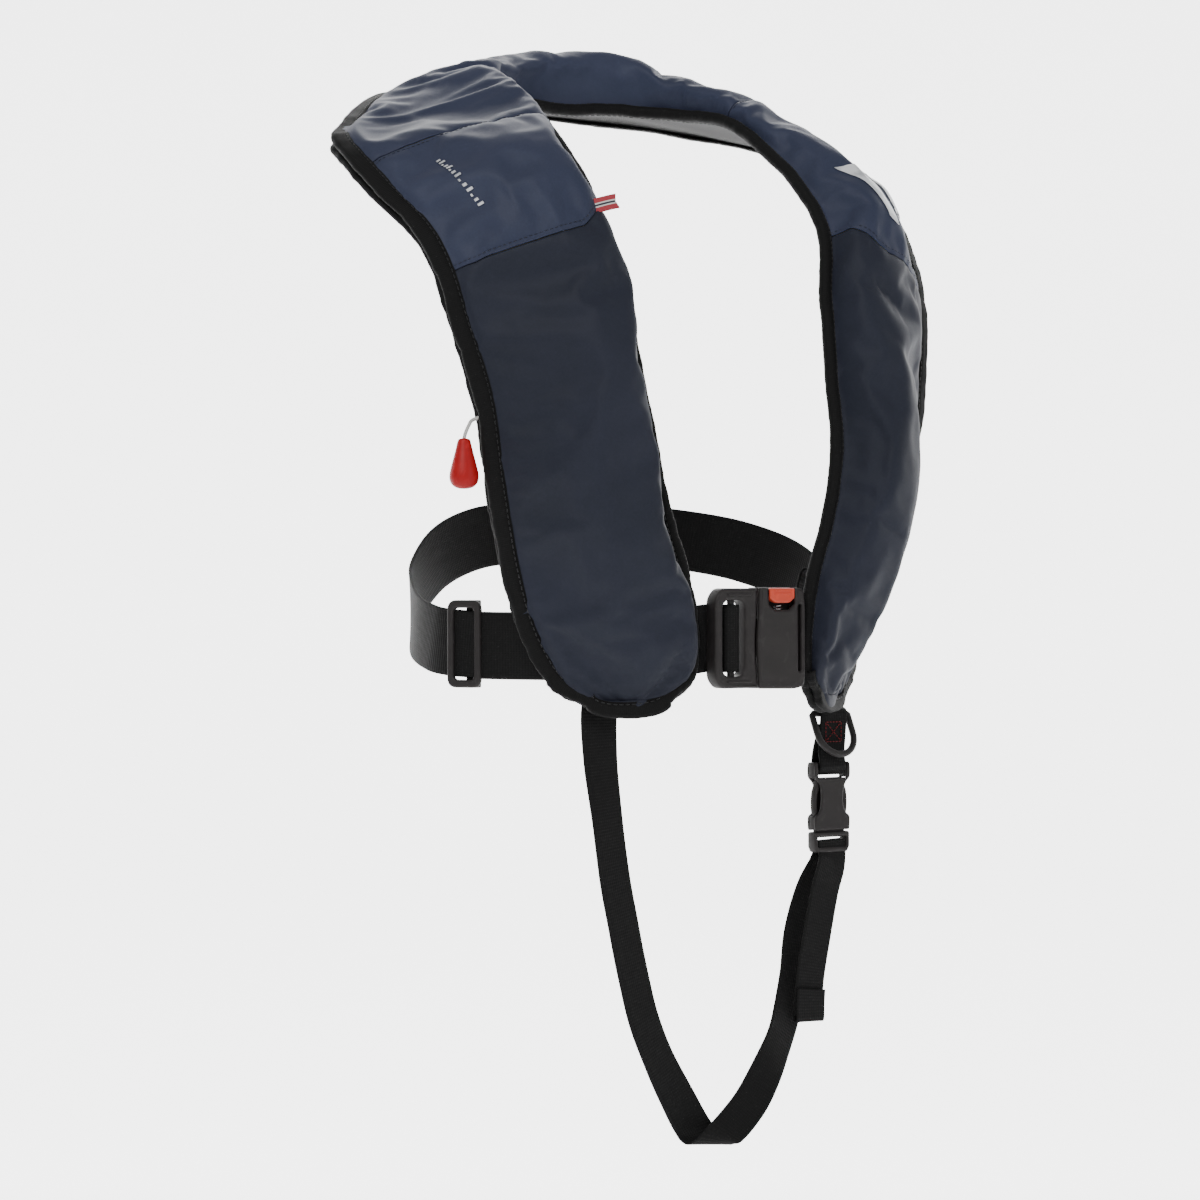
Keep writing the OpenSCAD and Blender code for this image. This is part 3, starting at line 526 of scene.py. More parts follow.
def stitches(name, points, normals, body, slot, material, gap=3.8, long=2.7, thick=0.36, sink=0.0):
    """A row of sewn stitches along a path that lies on a surface."""
    points, normals = np.asarray(points, float), unit(np.asarray(normals, float))
    at = lengths(points)
    count = max(2, int(at[-1] / (gap * MM)))
    verts, faces = [], []
    shape = [(-0.5, 0.35), (-0.3, 1), (0.3, 1), (0.5, 0.35)]
    for k in range(count):
        mid = (k + 0.5) * at[-1] / count
        here = [np.array([np.interp(mid + e, at, points[:, q]) for q in range(3)])
                for e in (-0.5 * long * MM, 0.5 * long * MM)]
        axis = here[1] - here[0]
        if np.linalg.norm(axis) < 1e-6:
            continue
        n = unit(np.array([np.interp(mid, at, normals[:, q]) for q in range(3)]))
        x = unit(axis)
        y = unit(np.cross(n, x))
        base = len(verts)
        for f, r in shape:
            c = (here[0] + here[1]) / 2 + x * f * long * MM - n * sink * MM
            for q in range(6):
                a = math.pi * q / 3
                verts.append(c + thick * MM * r * (y * math.cos(a) + n * math.sin(a)))
        for ring in range(len(shape) - 1):
            for q in range(6):
                p = base + ring * 6
                faces.append((p + q, p + (q + 1) % 6, p + 6 + (q + 1) % 6, p + 6 + q))
        faces.append(tuple(base + q for q in range(5, -1, -1)))
        faces.append(tuple(base + (len(shape) - 1) * 6 + q for q in range(6)))
    obj = add_mesh(name, verts, faces)
    return finish_piece(obj, body, slot, material=material)


def rounded(points, radii, steps=5):
    """Closed outline with each corner turned into an arc."""
    pts = [np.array(p, float) for p in points]
    out = []
    for k, p in enumerate(pts):
        r = radii[k % len(radii)]
        a, b = pts[k - 1] - p, pts[(k + 1) % len(pts)] - p
        cut = min(r, 0.48 * np.linalg.norm(a), 0.48 * np.linalg.norm(b))
        start, end = p + unit(a) * cut, p + unit(b) * cut
        for i in range(steps + 1):
            t = i / steps
            out.append((1 - t) ** 2 * start + 2 * t * (1 - t) * p + t * t * end)
    return [tuple(q) for q in out]


def box_outline(x0, x1, y0, y1, r):
    return rounded([(x0, y0), (x1, y0), (x1, y1), (x0, y1)], [r])


def plate(name, outlines, thick, edge, matrix, resolution=2):
    """Plate with rounded edges: outlines in mm (the first is the outside, the rest holes)."""
    curve = bpy.data.curves.new(name, "CURVE")
    curve.dimensions = "2D"
    curve.fill_mode = "BOTH"
    curve.extrude = max(thick / 2 - edge, 0.01) * MM
    curve.bevel_depth = edge * MM
    curve.offset = -edge * MM
    curve.bevel_resolution = resolution
    for outline in outlines:
        line = curve.splines.new("POLY")
        line.points.add(len(outline) - 1)
        for q, (x, y) in zip(line.points, outline):
            q.co = (x * MM, y * MM, 0, 1)
        line.use_cyclic_u = True
    ghost = bpy.data.objects.new(name + "_outline", curve)
    SCENE.collection.objects.link(ghost)
    graph = bpy.context.evaluated_depsgraph_get()
    mesh = bpy.data.meshes.new_from_object(ghost.evaluated_get(graph), depsgraph=graph)
    bpy.data.objects.remove(ghost)
    mesh.name = name
    mesh.transform(matrix)
    obj = bpy.data.objects.new(name, mesh)
    SCENE.collection.objects.link(obj)
    return shade_auto(obj)


def shade_auto(obj, degrees=35):
    mesh = obj.data
    mesh.polygons.foreach_set("use_smooth", [True] * len(mesh.polygons))
    mesh.set_sharp_from_angle(angle=math.radians(degrees))
    return obj


def joined(name, parts):
    """One piece out of several meshes."""
    verts, faces = [], []
    for part in parts:
        base = len(verts)
        world = part.matrix_world
        verts += [tuple(world @ v.co) for v in part.data.vertices]
        faces += [tuple(base + i for i in p.vertices) for p in part.data.polygons]
        bpy.data.objects.remove(part)
    return shade_auto(add_mesh(name, verts, faces))


def lathe(name, profile, matrix, sides=40):
    """Turned body: profile is (radius, z) in mm."""
    prof = np.array(profile, float) * MM
    angle = np.linspace(0, 2 * np.pi, sides, endpoint=False)
    rings = np.stack([
        np.stack([r * np.cos(angle), r * np.sin(angle), np.full(sides, z)], axis=1) for r, z in prof])
    obj = loops_mesh(name, rings, angle * 0.01)
    obj.data.transform(matrix)
    return obj


def facing(at, turn=0.0, tilt=0.0):
    """Plate frame: local X to the wearer's left, local Y up, local Z towards -Y."""
    m = Matrix.Translation(Vector(at) * MM)
    m = m @ Matrix.Rotation(math.radians(turn), 4, "Z")
    return m @ Matrix.Rotation(math.radians(90 + tilt), 4, "X")


def simulate(obj, pinned, pressure, shrink, cap):
    """Let the cloth swell and crease a little, with the pinned points held."""
    rest = np.empty(len(obj.data.vertices) * 3)
    obj.data.vertices.foreach_get("co", rest)
    rest = rest.reshape(-1, 3)
    group = obj.vertex_groups.new(name="held")
    for i, hold in enumerate(pinned):
        if hold > 0:
            group.add([i], float(hold), "REPLACE")
    mod = obj.modifiers.new("cloth", "CLOTH")
    c = mod.settings
    c.quality = 6
    c.mass = 0.25
    c.tension_stiffness = 12
    c.compression_stiffness = 12
    c.shear_stiffness = 5
    c.bending_stiffness = 0.6
    c.use_pressure = True
    c.uniform_pressure_force = pressure
    c.shrink_min = shrink
    c.vertex_group_mass = "held"
    c.pin_stiffness = 1
    c.effector_weights.gravity = 0
    mod.collision_settings.use_collision = False
    SCENE.frame_start = 1
    SCENE.frame_end = 22
    mod.point_cache.frame_start = 1
    mod.point_cache.frame_end = 22
    for f in range(1, 21):
        SCENE.frame_set(f)
    graph = bpy.context.evaluated_depsgraph_get()
    moved = np.empty(len(rest) * 3)
    obj.evaluated_get(graph).data.vertices.foreach_get("co", moved)
    moved = moved.reshape(-1, 3) - rest
    size = np.linalg.norm(moved, axis=1, keepdims=True)
    moved *= np.minimum(1, cap * MM / np.maximum(size, 1e-9))
    obj.modifiers.clear()
    obj.vertex_groups.clear()
    SCENE.frame_set(1)
    return rest + moved


def hold_and_swell(points, held, pressure, shrink, cap, share=1.0):
    """Simulated copy of a grid of points; share scales how far each point moves."""
    ghost = grid_object("ghost", points)
    out = simulate(ghost, held.ravel(), pressure, shrink, cap).reshape(points.shape)
    bpy.data.objects.remove(ghost)
    return points + (out - points) * share


# ---- Cords and straps that hang free -------------------------------------------

STRAP_W, STRAP_T = 25, 1.6
BELT_W, WEB_T = 46, 2
CORD_D = 2.4
CORD_EXIT = 8.15


def behind(side, places, lift=-6):
    return [[spot(side * s, w, lift) / MM, normal_at(side * s)] for s, w in places]


strap_route = [
    [spot(-12, 62, -2.6) / MM, normal_at(-12)], [spot(-12.8, 52, -2.6) / MM, normal_at(-12.8)],
    [[-95, -111, -424], [-0.45, -0.89, 0]], [[-94.5, -110, -462], [-0.2, -0.98, 0]],
    [[-90, -112, -504], [0, -1, 0]], [[-84, -112, -544], [0, -1, 0]],
    [[-76, -112, -579], [0, -1, 0]], [[-68, -112, -613], [0, -1, 0]],
    [[-60, -112, -641], [0, -1, 0]], [[-47, -112, -670], [0, -1, 0]],
    [[-31, -112, -698], [-0.3, -0.95, 0]], [[-19, -114, -719], [-0.57, -0.82, 0]],
    [[-15, -125, -729], [0, 0, 1]], [[-8, -136, -721], [0.57, 0.82, 0]],
    [[14, -134, -704], [0.5, 0.85, 0]], [[32, -130, -684], [0.3, 0.95, 0]],
    [[48, -124, -664], [0, 1, 0]], [[60, -118, -645], [0, 1, 0]],
    [[70, -113, -620], [0, 1, 0]], [[76, -110, -592], [0, 1, 0]],
    [[88, -109, -562], [0, 1, 0]], [[100, -108.2, -545], [0, 1, 0]],
    [[104, -108, -536], [0, 1, 0]], [[104, -108, -526], [0, 1, 0]],
]
tail_route = [
    [[104, -114, -526], [0, 1, 0]], [[104, -114.4, -536], [0, 1, 0]],
    [[101, -117, -545], [0, 1, 0]], [[92, -121, -562], [0, 1, 0]],
    [[83, -124, -590], [0, 1, 0]], [[76, -125, -620], [0, 1, 0]], [[74, -125, -648], [0, 1, 0]],
]
FOLD_AT = 12
fold_axis = (0.82, -0.57, 0)
crotch_strap = ribbon("crotch_strap_web", strap_route, STRAP_W, STRAP_T, 8, 0.5, 3, fold=(FOLD_AT, fold_axis, 1.22))
finish_piece(crotch_strap, None, "webbing", ["crotch_strap"])
tail = ribbon("strap_tail_web", tail_route, STRAP_W, STRAP_T, 8, 0.4, 7)
finish_piece(tail, "clip_plug", "webbing", ["strap_tail"])
hem = ribbon("strap_tail_hem", [
    [[75.3, -127.0, -629], [0, 1, 0]], [[74.4, -127.2, -638], [0, 1, 0]],
    [[74.0, -127.2, -650], [0, 1, 0]], [[74.0, -125.4, -651.2], [0, 0, -1]],
    [[74.0, -123.6, -650], [0, -1, 0]], [[74.3, -123.6, -640], [0, -1, 0]]],
    STRAP_W, 1.4, 6)
finish_piece(hem, "clip_plug", "webbing")

cord_w = float(width(CORD_EXIT))
cord_route = [spot(-CORD_EXIT, w, h) for w, h in
              ((72, 11.6), (78, 10.4), (cord_w - 26, 7.6), (cord_w - 12, 7.5), (cord_w + 2, 7.5))]
cord_route += [np.array(p) * MM for p in ((-198, -107, -240), (-202.5, -109, -247), (-203, -109, -252))]


def spline(points, per=8):
    p = np.vstack([2 * points[0] - points[1], points, 2 * points[-1] - points[-2]])
    u = np.linspace(0, len(points) - 1, (len(points) - 1) * per + 1)
    i = np.minimum(np.floor(u).astype(int), len(points) - 2)
    return catmull(p[i], p[i + 1], p[i + 2], p[i + 3], (u - i)[:, None])


cord_path = spline(np.array(cord_route), 8)
pull_cord = tube("pull_cord_line", cord_path, CORD_D / 2 * MM, 12)
finish_piece(pull_cord, None, "cord_white", ["pull_cord"])

# ---- Padded covers --------------------------------------------------------------


SEAMS = (-LOWER_SEAM, -SHOULDER_RIGHT, SHOULDER_LEFT, LOWER_SEAM)


def station_rows(fine):
    """Stations for rows of a grid, with a row exactly on each panel seam."""
    marks = [-TIP, *SEAMS, TIP]
    runs = [np.linspace(a, b, max(2, round((b - a) / fine)) + 1)[:-1] for a, b in zip(marks, marks[1:])]
    return np.concatenate([*runs, [TIP]])


ROWS = station_rows(0.085)
DOME = np.linspace(0, 1, 34) ** 1.35
PANEL_T = np.concatenate([[-0.09, -0.04], DOME, [1.04, 1.09]])


def seam_shift(s, t):
    """How far rows near the panel seams lean, so that the seams run as they are sewn."""
    a, t = np.abs(s), np.clip(t, 0, 1)
    low = -0.26 * np.clip((0.22 - t) / 0.22, 0, 1) * np.exp(-(((a - LOWER_SEAM) / 0.7) ** 2))
    right = (0.3 * t - 0.05) * np.exp(-(((s + SHOULDER_RIGHT) / 0.9) ** 2))
    return np.sign(s) * (low + right)


def edge_dip(s):
    """The outer edges of cover and lining lie together, and gape at the shoulders."""
    a = np.abs(s)
    gape = np.exp(-(((a - 4.1) / 0.9) ** 2)) + 0.5 * np.exp(-(((a - 7.9) / 0.25) ** 2))
    return 2.6 * (1 - np.clip(gape, 0, 1))


def edge_wave(s, seed, size=1.0):
    """Slow wave of a bound edge, with finer puckers on it."""
    return size * (2.0 * ripple(s * 1.9, 0, seed) + 0.9 * ripple(s * 5.5, 4, seed) + 0.4 * ripple(s * 14, 8, seed))


def folds(s, t):
    """Creases that the cover keeps: soft folds on the collar, upright ones at the tips."""
    a = np.abs(s)
    collar = 1 - smooth(a, 2.6, 4.2)
    low = smooth(a, 9.8, 12.6) * (1 - smooth(a, 13.3, 14))
    left = np.where(s > 0, 1.0, 0.55)
    out = 3.4 * collar * ripple(s * 2.6 + t * 1.6, t * 1.5, 3.1)
    out += 1.4 * collar * ripple(s * 6.5, t * 3 - s, 9.7)
    out += 4.2 * left * low * ripple(t * 7.5 - s * 0.5, s * 0.55, 5.3)
    out += 2.6 * ripple(s * 0.9 + 3, t * 1.7, 1.7)
    out += 0.7 * ripple(s * 3.1 + 3, t * 4.1, 6.7)
    fade = np.clip(np.minimum(t / 0.16, (1 - t) / 0.16), 0, 1)
    return out * fade


def cover_points():
    s0 = np.repeat(ROWS[:, None], len(PANEL_T), axis=1)
    t = np.repeat(PANEL_T[None], len(ROWS), axis=0)
    s = np.clip(s0 + seam_shift(s0, t), -TIP, TIP)
    _, _, _, w = shell_frame(np.abs(s))
    k = np.minimum(1, w / 70)
    a, b = INNER_BAND_W * k, (EDGE_TAPE + 0.5) * k
    span = w - a - b
    tt = np.clip(t, 0, 1)
    across = a + span * tt
    across = np.where(t < 0, a + t * 70 * k, across)
    across = np.where(t > 1, w - b + (t - 1) * 100 * k, across)
    # the cloth bulges over the inner edge
    over = np.sin(np.pi * np.sqrt(np.clip(tt / 0.34, 0, 1))) * smooth(14 - np.abs(s), 0.3, 2.0)
    across = across - (9 - 5 * np.exp(-(((np.abs(s) - 5.2) / 1.6) ** 2))) * k * over
    dip = edge_dip(s)
    base = 7 + 6 * tt - dip * smooth(tt, 0.35, 1.0)
    top = np.maximum(along(TRACKS[2], np.abs(s))[..., 0] - 3.0 * np.exp(-(((np.abs(s) - 3.9) / 1.3) ** 2))
                     + 11 * np.exp(-(((s - 1.2) / 1.5) ** 2)), 12.5)
    high = base + (top - 7 - 6 * tt) * rise(tt) + folds(s, tt)
    return s, t, spot(s, across, high), w


cover_s, cover_t, cover_rest, _ = cover_points()


def close_tip(points, bulge=0.25, shares=(0.86, 0.55, 0.2)):
    """Rows that close a grid beyond both tips, in metres."""
    def rows(edge, before):
        mid = (edge[0] + edge[-1]) / 2
        onward = unit(edge.mean(axis=0) - before.mean(axis=0))
        r = np.linalg.norm(edge[0] - edge[-1]) / 2
        return [mid + f * (edge - mid) + onward * r * bulge * math.sqrt(1 - f * f) for f in shares]

    first = rows(points[0], points[2])[::-1]
    last = rows(points[-1], points[-3])
    return np.concatenate([np.array(first), points, np.array(last)])


held = np.where((cover_t <= 0.0) | (cover_t >= 1.0), 1.0, 0.0)
held[:3], held[-3:] = 1.0, 1.0
for seam in SEAMS:
    held[np.abs(ROWS - seam) < 0.02] = np.maximum(held[np.abs(ROWS - seam) < 0.02], 0.35)
cover_top = hold_and_swell(cover_rest, held, 2.2, -0.035, 7)


def grid_normals(points):
    du = np.gradient(points, axis=0)
    dv = np.gradient(points, axis=1)
    n = unit(np.cross(du, dv))
    ref = normal_at(ROWS)[:, None] if len(points) == len(ROWS) else n
    return n * np.sign((n * ref).sum(-1, keepdims=True) + 1e-9)


cover_n = grid_normals(cover_top)
groove = sum(np.exp(-(((np.repeat(ROWS[:, None], len(PANEL_T), axis=1) - q) / 0.05) ** 2))
             for q in SEAMS)
cover_top = cover_top - cover_n * (groove * 1.1 * MM)[..., None]


def cover_panel(name, node, slot, lo, hi):
    keep = (ROWS >= lo - 1e-6) & (ROWS <= hi + 1e-6)
    points = cover_top[keep]
    if lo <= -TIP:
        points = close_tip(points)[: len(points) + 3]
    if hi >= TIP:
        points = close_tip(points)[3:]
    obj = grid_object(name, points)
    thick = obj.modifiers.new("thick", "SOLIDIFY")
    thick.thickness = 1.3 * MM
    thick.offset = -1
    fine = obj.modifiers.new("fine", "SUBSURF")
    fine.levels = fine.render_levels = 1
    apply_all(obj)
    finish_piece(obj, "jacket", slot, [node])
    return obj


cover_panel("cover_collar_cloth", "cover_collar", "cover_cloth_upper", -SHOULDER_RIGHT, SHOULDER_LEFT)
cover_panel("cover_right_upper_cloth", "cover_right_upper", "cover_cloth_upper", -LOWER_SEAM, -SHOULDER_RIGHT)
cover_panel("cover_left_upper_cloth", "cover_left_upper", "cover_cloth_upper", SHOULDER_LEFT, LOWER_SEAM)
cover_panel("cover_right_lower_cloth", "cover_right_lower", "cover_cloth", -TIP, -LOWER_SEAM)
cover_panel("cover_left_lower_cloth", "cover_left_lower", "cover_cloth", LOWER_SEAM, TIP)

for seam, edge in zip(SEAMS, (1, -1, 1, -1)):
    at = int(np.argmin(np.abs(ROWS - seam)))
    line = slice(2, len(PANEL_T) - 2)
    path = cover_top[at, line] * 0.35 + cover_top[at + edge, line] * 0.65
    stitches(f"seam_stitches_{at}", path + cover_n[at, line] * 1.3 * MM, cover_n[at, line], "jacket",
             "cover_cloth_upper", NAVY_THREAD, 3.6, 2.6, 0.3)

# ---- Lining, bladder and bindings -------------------------------------------------


def lining_part(name, node, lo, hi):
    s = ROWS[(ROWS >= lo - 1e-6) & (ROWS <= hi + 1e-6)]
    t = np.linspace(0, 1, 22)
    s2 = np.repeat(s[:, None], len(t), axis=1)
    t2 = np.repeat(t[None], len(s), axis=0)
    w = width(s2)
    slackness = 1.0 * ripple(s2 * 1.6, t2 * 3, 12.5) * np.sin(np.pi * t2)
    points = spot(s2, 2 + (w - 4) * t2, 3.4 + slackness)
    if lo <= -TIP:
        points = close_tip(points)[: len(points) + 3]
    if hi >= TIP:
        points = close_tip(points)[3:]
    obj = grid_object(name, points)
    thick = obj.modifiers.new("thick", "SOLIDIFY")
    thick.thickness = 1.2 * MM
    thick.offset = 0
    apply_all(obj)
    finish_piece(obj, "jacket", "lining_cloth", [node])


lining_part("lining_collar_mesh", "lining_collar", -SHOULDER_RIGHT, SHOULDER_LEFT)
lining_part("lining_right_mesh", "lining_right", -TIP, -SHOULDER_RIGHT)
lining_part("lining_left_mesh", "lining_left", SHOULDER_LEFT, TIP)


def half_edge(outer):
    """Edge of the left half from the collar to the tip: station, point, inward and outward
    directions in mm. The outer edge carries on around the tip and back up the inner edge."""
    end = TIP if outer else 13.4
    s = np.linspace(0, end, round(end / 0.05) + 1)
    a, across, out, w = shell_frame(s)
    p = a + w[:, None] * across if outer else a
    if outer:
        mid, r = a[-1] + across[-1] * w[-1] / 2, w[-1] / 2
        onward = unit((a[-1] - a[-3]) + (p[-1] - p[-3]))
        turn = np.linspace(0, math.pi, 14)[1:-1, None]
        arc = mid + r * (np.cos(turn) * across[-1] + 0.3 * np.sin(turn) * onward)
        back = a[:-26:-1]
        p = np.concatenate([p, arc, back])
        out = np.concatenate([out, np.repeat(out[-1:], len(arc), axis=0), out[:-26:-1]])
        s = np.concatenate([s, TIP + 0.05 * np.arange(1, len(arc) + len(back) + 1)])
    tan = unit(np.gradient(p, axis=0))
    inward = unit(np.cross(out, tan)) * (-1 if outer else 1)
    soft = inward.copy()
    for _ in range(6):
        soft[1:-1] = (soft[:-2] + soft[1:-1] + soft[2:]) / 3
    return s, p, unit(soft), out


def edge_path(outer):
    """The whole edge from the wearer's right tip to the left tip, in metres."""
    s, p, inward, out = half_edge(outer)
    flip = np.array([-1, 1, 1])
    s = np.concatenate([-s[:0:-1], s])
    p, inward, out = (np.concatenate([q[:0:-1] * flip, q]) for q in (p, inward, out))
    p = p - np.array([0, 0, 1]) * (sag(s, 70 if outer else 0)[:, None])
    return s, p * MM, inward, out, 1 - 0.15 * smooth(np.abs(s), 12.2, 13.9) if outer else np.ones(len(s))


def folded(wide, lo, hi, t):
    """Closed profile of a tape folded over an edge: (in from the edge, height)."""
    r = (hi - lo) / 2
    mid = (hi + lo) / 2
    outer = [(wide, lo), (wide * 0.6, lo), (r, lo)]
    outer += [(r - r * math.sin(a), mid - r * math.cos(a)) for a in np.linspace(0.35, math.pi - 0.35, 7)]
    outer += [(r, hi), (wide * 0.6, hi), (wide, hi)]
    inner = [(wide, hi - t), (wide * 0.6, hi - t), (r, hi - t), (r * 0.55, mid + (r - t) * 0.5),
             (r * 0.55, mid - (r - t) * 0.5), (r, lo + t), (wide * 0.6, lo + t), (wide, lo + t)]
    return np.array(outer + inner)


def binding(name, node, outer, wide, lo, hi, seed, dips, size):
    s, p, inward, out, k = edge_path(outer)
    prof = folded(wide, lo, hi, 1.3)
    side = edge_wave(s, seed, size)
    lift = edge_wave(s, seed + 4, size * 0.55) - (edge_dip(s) if dips else 0)
    pucker = 0.35 * ripple(s * 22, 2, seed)
    w = prof[:, 0][None] * k[:, None]
    grow = (side[:, None] * 0.8 - pucker[:, None]) * np.clip(1 - prof[:, 0][None] / wide, 0, 1)
    h = prof[:, 1][None] + lift[:, None] + pucker[:, None] * np.cos(prof[:, 0][None] * 0.9)
    rings = (p[:, None] + inward[:, None] * ((w - grow) * MM)[..., None] + out[:, None] * (h * MM)[..., None])
    obj = loops_mesh(name, rings, np.cumsum(np.concatenate([[0], np.linalg.norm(np.diff(prof, axis=0), axis=1)])) * MM)
    finish_piece(obj, "jacket", "binding_tape", [node])
    on_top = int(np.argmax(prof[:, 1] + prof[:, 0] * 0.01))
    for label, row, face in (("top", on_top, 1), ("under", 0, -1)):
        path = rings[:, row] - inward * (1.9 * MM * k)[:, None]
        stitches(f"{name}_stitches_{label}", path, out * face, "jacket", "binding_tape", BLACK_THREAD, 4.2, 2.9, 0.32, -0.1)
    return obj, rings


binding("lining_binding_tape", "lining_binding", True, EDGE_TAPE, 0.2, 6, 2.2, False, 1.0)
binding("cover_binding_tape", "cover_binding", True, EDGE_TAPE, 9, 15, 7.9, True, 1.0)
binding("inner_binding_tape", "inner_binding", False, INNER_BAND_W - 0.6, 0.2, 9, 4.6, False, 0.7)


def bladder_piece():
    s = np.linspace(-12.4, 12.4, 200)
    t = np.linspace(0, 1, 14)
    s2 = np.repeat(s[:, None], 28, axis=1)
    w = width(s)
    a = INNER_BAND_W + 5
    span = w - a - BINDING_W - 16 - 4
    top = along(TRACKS[2], np.abs(s))[:, 0]
    limit = np.where((s < -7.1) & (s > -12.3), 5.9, np.where((s > 5.1) & (s < 9.7), 14, 99))
    lower = np.repeat(np.full(len(s), 5.0)[:, None], 14, axis=1)
    tt = 0.06 + 0.62 * t
    upper = np.minimum(5 + (top[:, None] - 5) * rise(tt)[None] - 19, limit[:, None] - 0.2)
    upper = np.maximum(upper + 0.5 * ripple(s2[:, :14] * 3, t[None] * 5, 8.8), 5.4)
    across = a + span[:, None] * t[None]
    rings = np.concatenate([spot(s2[:, :14], across, lower), spot(s2[:, :14], across[:, ::-1], upper[:, ::-1])], axis=1)
    obj = loops_mesh("bladder_cloth", rings, np.concatenate([t, t[::-1]]) * 0.1)
    finish_piece(obj, "jacket", "bladder_cloth", ["bladder"])


bladder_piece()


def closure(name, lo, hi):
    s = np.linspace(lo, hi, 60)
    outer = width(s) - BINDING_W - 2
    dip = edge_dip(s)
    prof = [(-16, 4.6), (0, 4.6), (0, 10.0), (-16, 10.0)]
    rings = np.stack([spot(s, outer + x, h - (dip * 0.75 if h > 6 else 0)) for x, h in prof], axis=1)
    obj = loops_mesh(name, rings, np.array([0, 16, 16, 0]) * MM)
    return finish_piece(obj, "jacket", "hook_tape", ["burst_strips"])


closure("burst_strip_right_low", -12, -8.8)
closure("burst_strip_right_high", -7.6, -4.4)
closure("burst_strip_left", 4.4, 12)

# ---- Belt, straps and loops --------------------------------------------------------

BUCKLE = np.array([3.5, -155, -381.0])
BUCKLE_T = 15
LEFT_X, SPLIT_X, RIGHT_X = -35, 1, 42
BUTTON_X = SPLIT_X + 20.5
GRIP_X = LEFT_X + 17
BELT_LEFT = [
    [[148, -62, -374], [0.85, -0.5, 0]], [[163, -10, -340], [1, -0.05, 0]],
    [[150, 50, -318], [0.85, 0.5, 0]], [[105, 92, -307], [0.5, 0.85, 0]],
    [[50, 113, -303], [0.2, 1, 0]], [[0, 119, -304], [0, 1, 0]],
]
BELT_RIGHT = [
    [[-50, 113, -309], [-0.2, 1, 0]], [[-95, 97, -325], [-0.45, 0.9, 0]],
    [[-132, 70, -352], [-0.7, 0.7, 0]], [[-156, 30, -372], [-0.95, 0.25, 0]],
    [[-163, -4, -381], [-1, -0.1, 0]], [[-161, -25, -384], [-0.91, -0.41, 0]],
    [[-155, -38, -385], [-0.91, -0.41, 0]], [[-149, -51, -386], [-0.91, -0.41, 0]],
]
BACK = [
    [[0, 138, 4], [0, 0.6, -0.8]], [[0, 146, -16], [0, 1, 0]],
    [[0, 143, -80], [0, 1, 0]], [[0, 134, -170], [0, 1, 0]],
    [[0, 125, -262], [0, 1, 0]], [[0, 122.5, -300], [0, 1, 0]],
    [[0, 122.5, -328], [0, 1, 0]], [[0, 119, -332], [0, 0, -1]],
    [[0, 115.5, -328], [0, -1, 0]], [[0, 115.5, -270], [0, -1, 0]],
]
belt_back = BUCKLE[1] + BUCKLE_T / 2 + WEB_T / 2 + 0.8
belt_route = [
    [[RIGHT_X - 12, belt_back, BUCKLE[2]], [0, -1, 0]],
    [[RIGHT_X - 2, belt_back + 0.3, BUCKLE[2]], [0.1, -1, 0]],
    *behind(1, [(11.95, 18), (11.9, 45), (11.75, 75), (11.6, 102)]),
    *BELT_LEFT, *BELT_RIGHT,
    *behind(-1, [(11.6, 102), (11.75, 75), (11.9, 45)]),
]
finish_piece(ribbon("waist_belt_web", belt_route, BELT_W, WEB_T, 10, 0.6, 11), "jacket", "webbing", ["waist_belt"])

# The belt's loose end runs back from the slider and lies on the belt
second = [*BELT_RIGHT[5:], *behind(-1, [(11.6, 102), (11.7, 88)])]
finish_piece(ribbon("belt_second_layer", second, BELT_W - 1, WEB_T, 10, 0.5, 15, lift=2.5), "jacket", "webbing")

bar = np.array([GRIP_X, BUCKLE[1], BUCKLE[2]])
over = 1.5 + WEB_T / 2 + 0.4
end_back = BUCKLE_T / 2 - 1.5 - 2.5 + WEB_T / 2 + 0.4
end_route = [
    *behind(-1, [(11.9, 41), (11.92, 31), (11.95, 18)]),
    [bar + [-18, end_back + 1, 0], [0, -1, 0]], [bar + [-12.6, end_back + 0.4, 0], [-0.1, -1, 0]],
    [bar + [-7.6, 2.6, 0], [-0.7, -0.7, 0]], [bar + [-4.8, -1.8, 0], [-0.7, -0.7, 0]],
    [bar + [0, -over, 0], [0, -1, 0]], [bar + [5, -2, 0], [0.7, -0.7, 0]],
]
belt_end = ribbon("belt_end_web", end_route, BELT_W, WEB_T, 8)
finish_piece(belt_end, None, "webbing", ["belt_end"])

finish_piece(ribbon("back_strap_web", BACK, 40, WEB_T, 8, 0.4, 21), "jacket", "webbing", ["back_strap"])

for side, word in ((-1, "right"), (1, "left")):
    loop = []
    for s, h, lean in ((10.68, 1.2, -1), (10.72, -4, -1), (10.86, -9.2, 0), (11.9, -9.9, 0),
                       (12.94, -9.2, 0), (13.08, -4, 1), (13.12, 1.2, 1)):
        up = (spot(side * 12.6, 25, 0) - spot(side * 11, 25, 0)) / MM
        face = unit(up) * lean if lean else -normal_at(side * s)
        loop.append([spot(side * s, 25, h) / MM, face])
    finish_piece(ribbon(f"belt_loop_{word}_web", loop, 18, 1.4, 6), "jacket", "webbing", [f"belt_loop_{word}"])

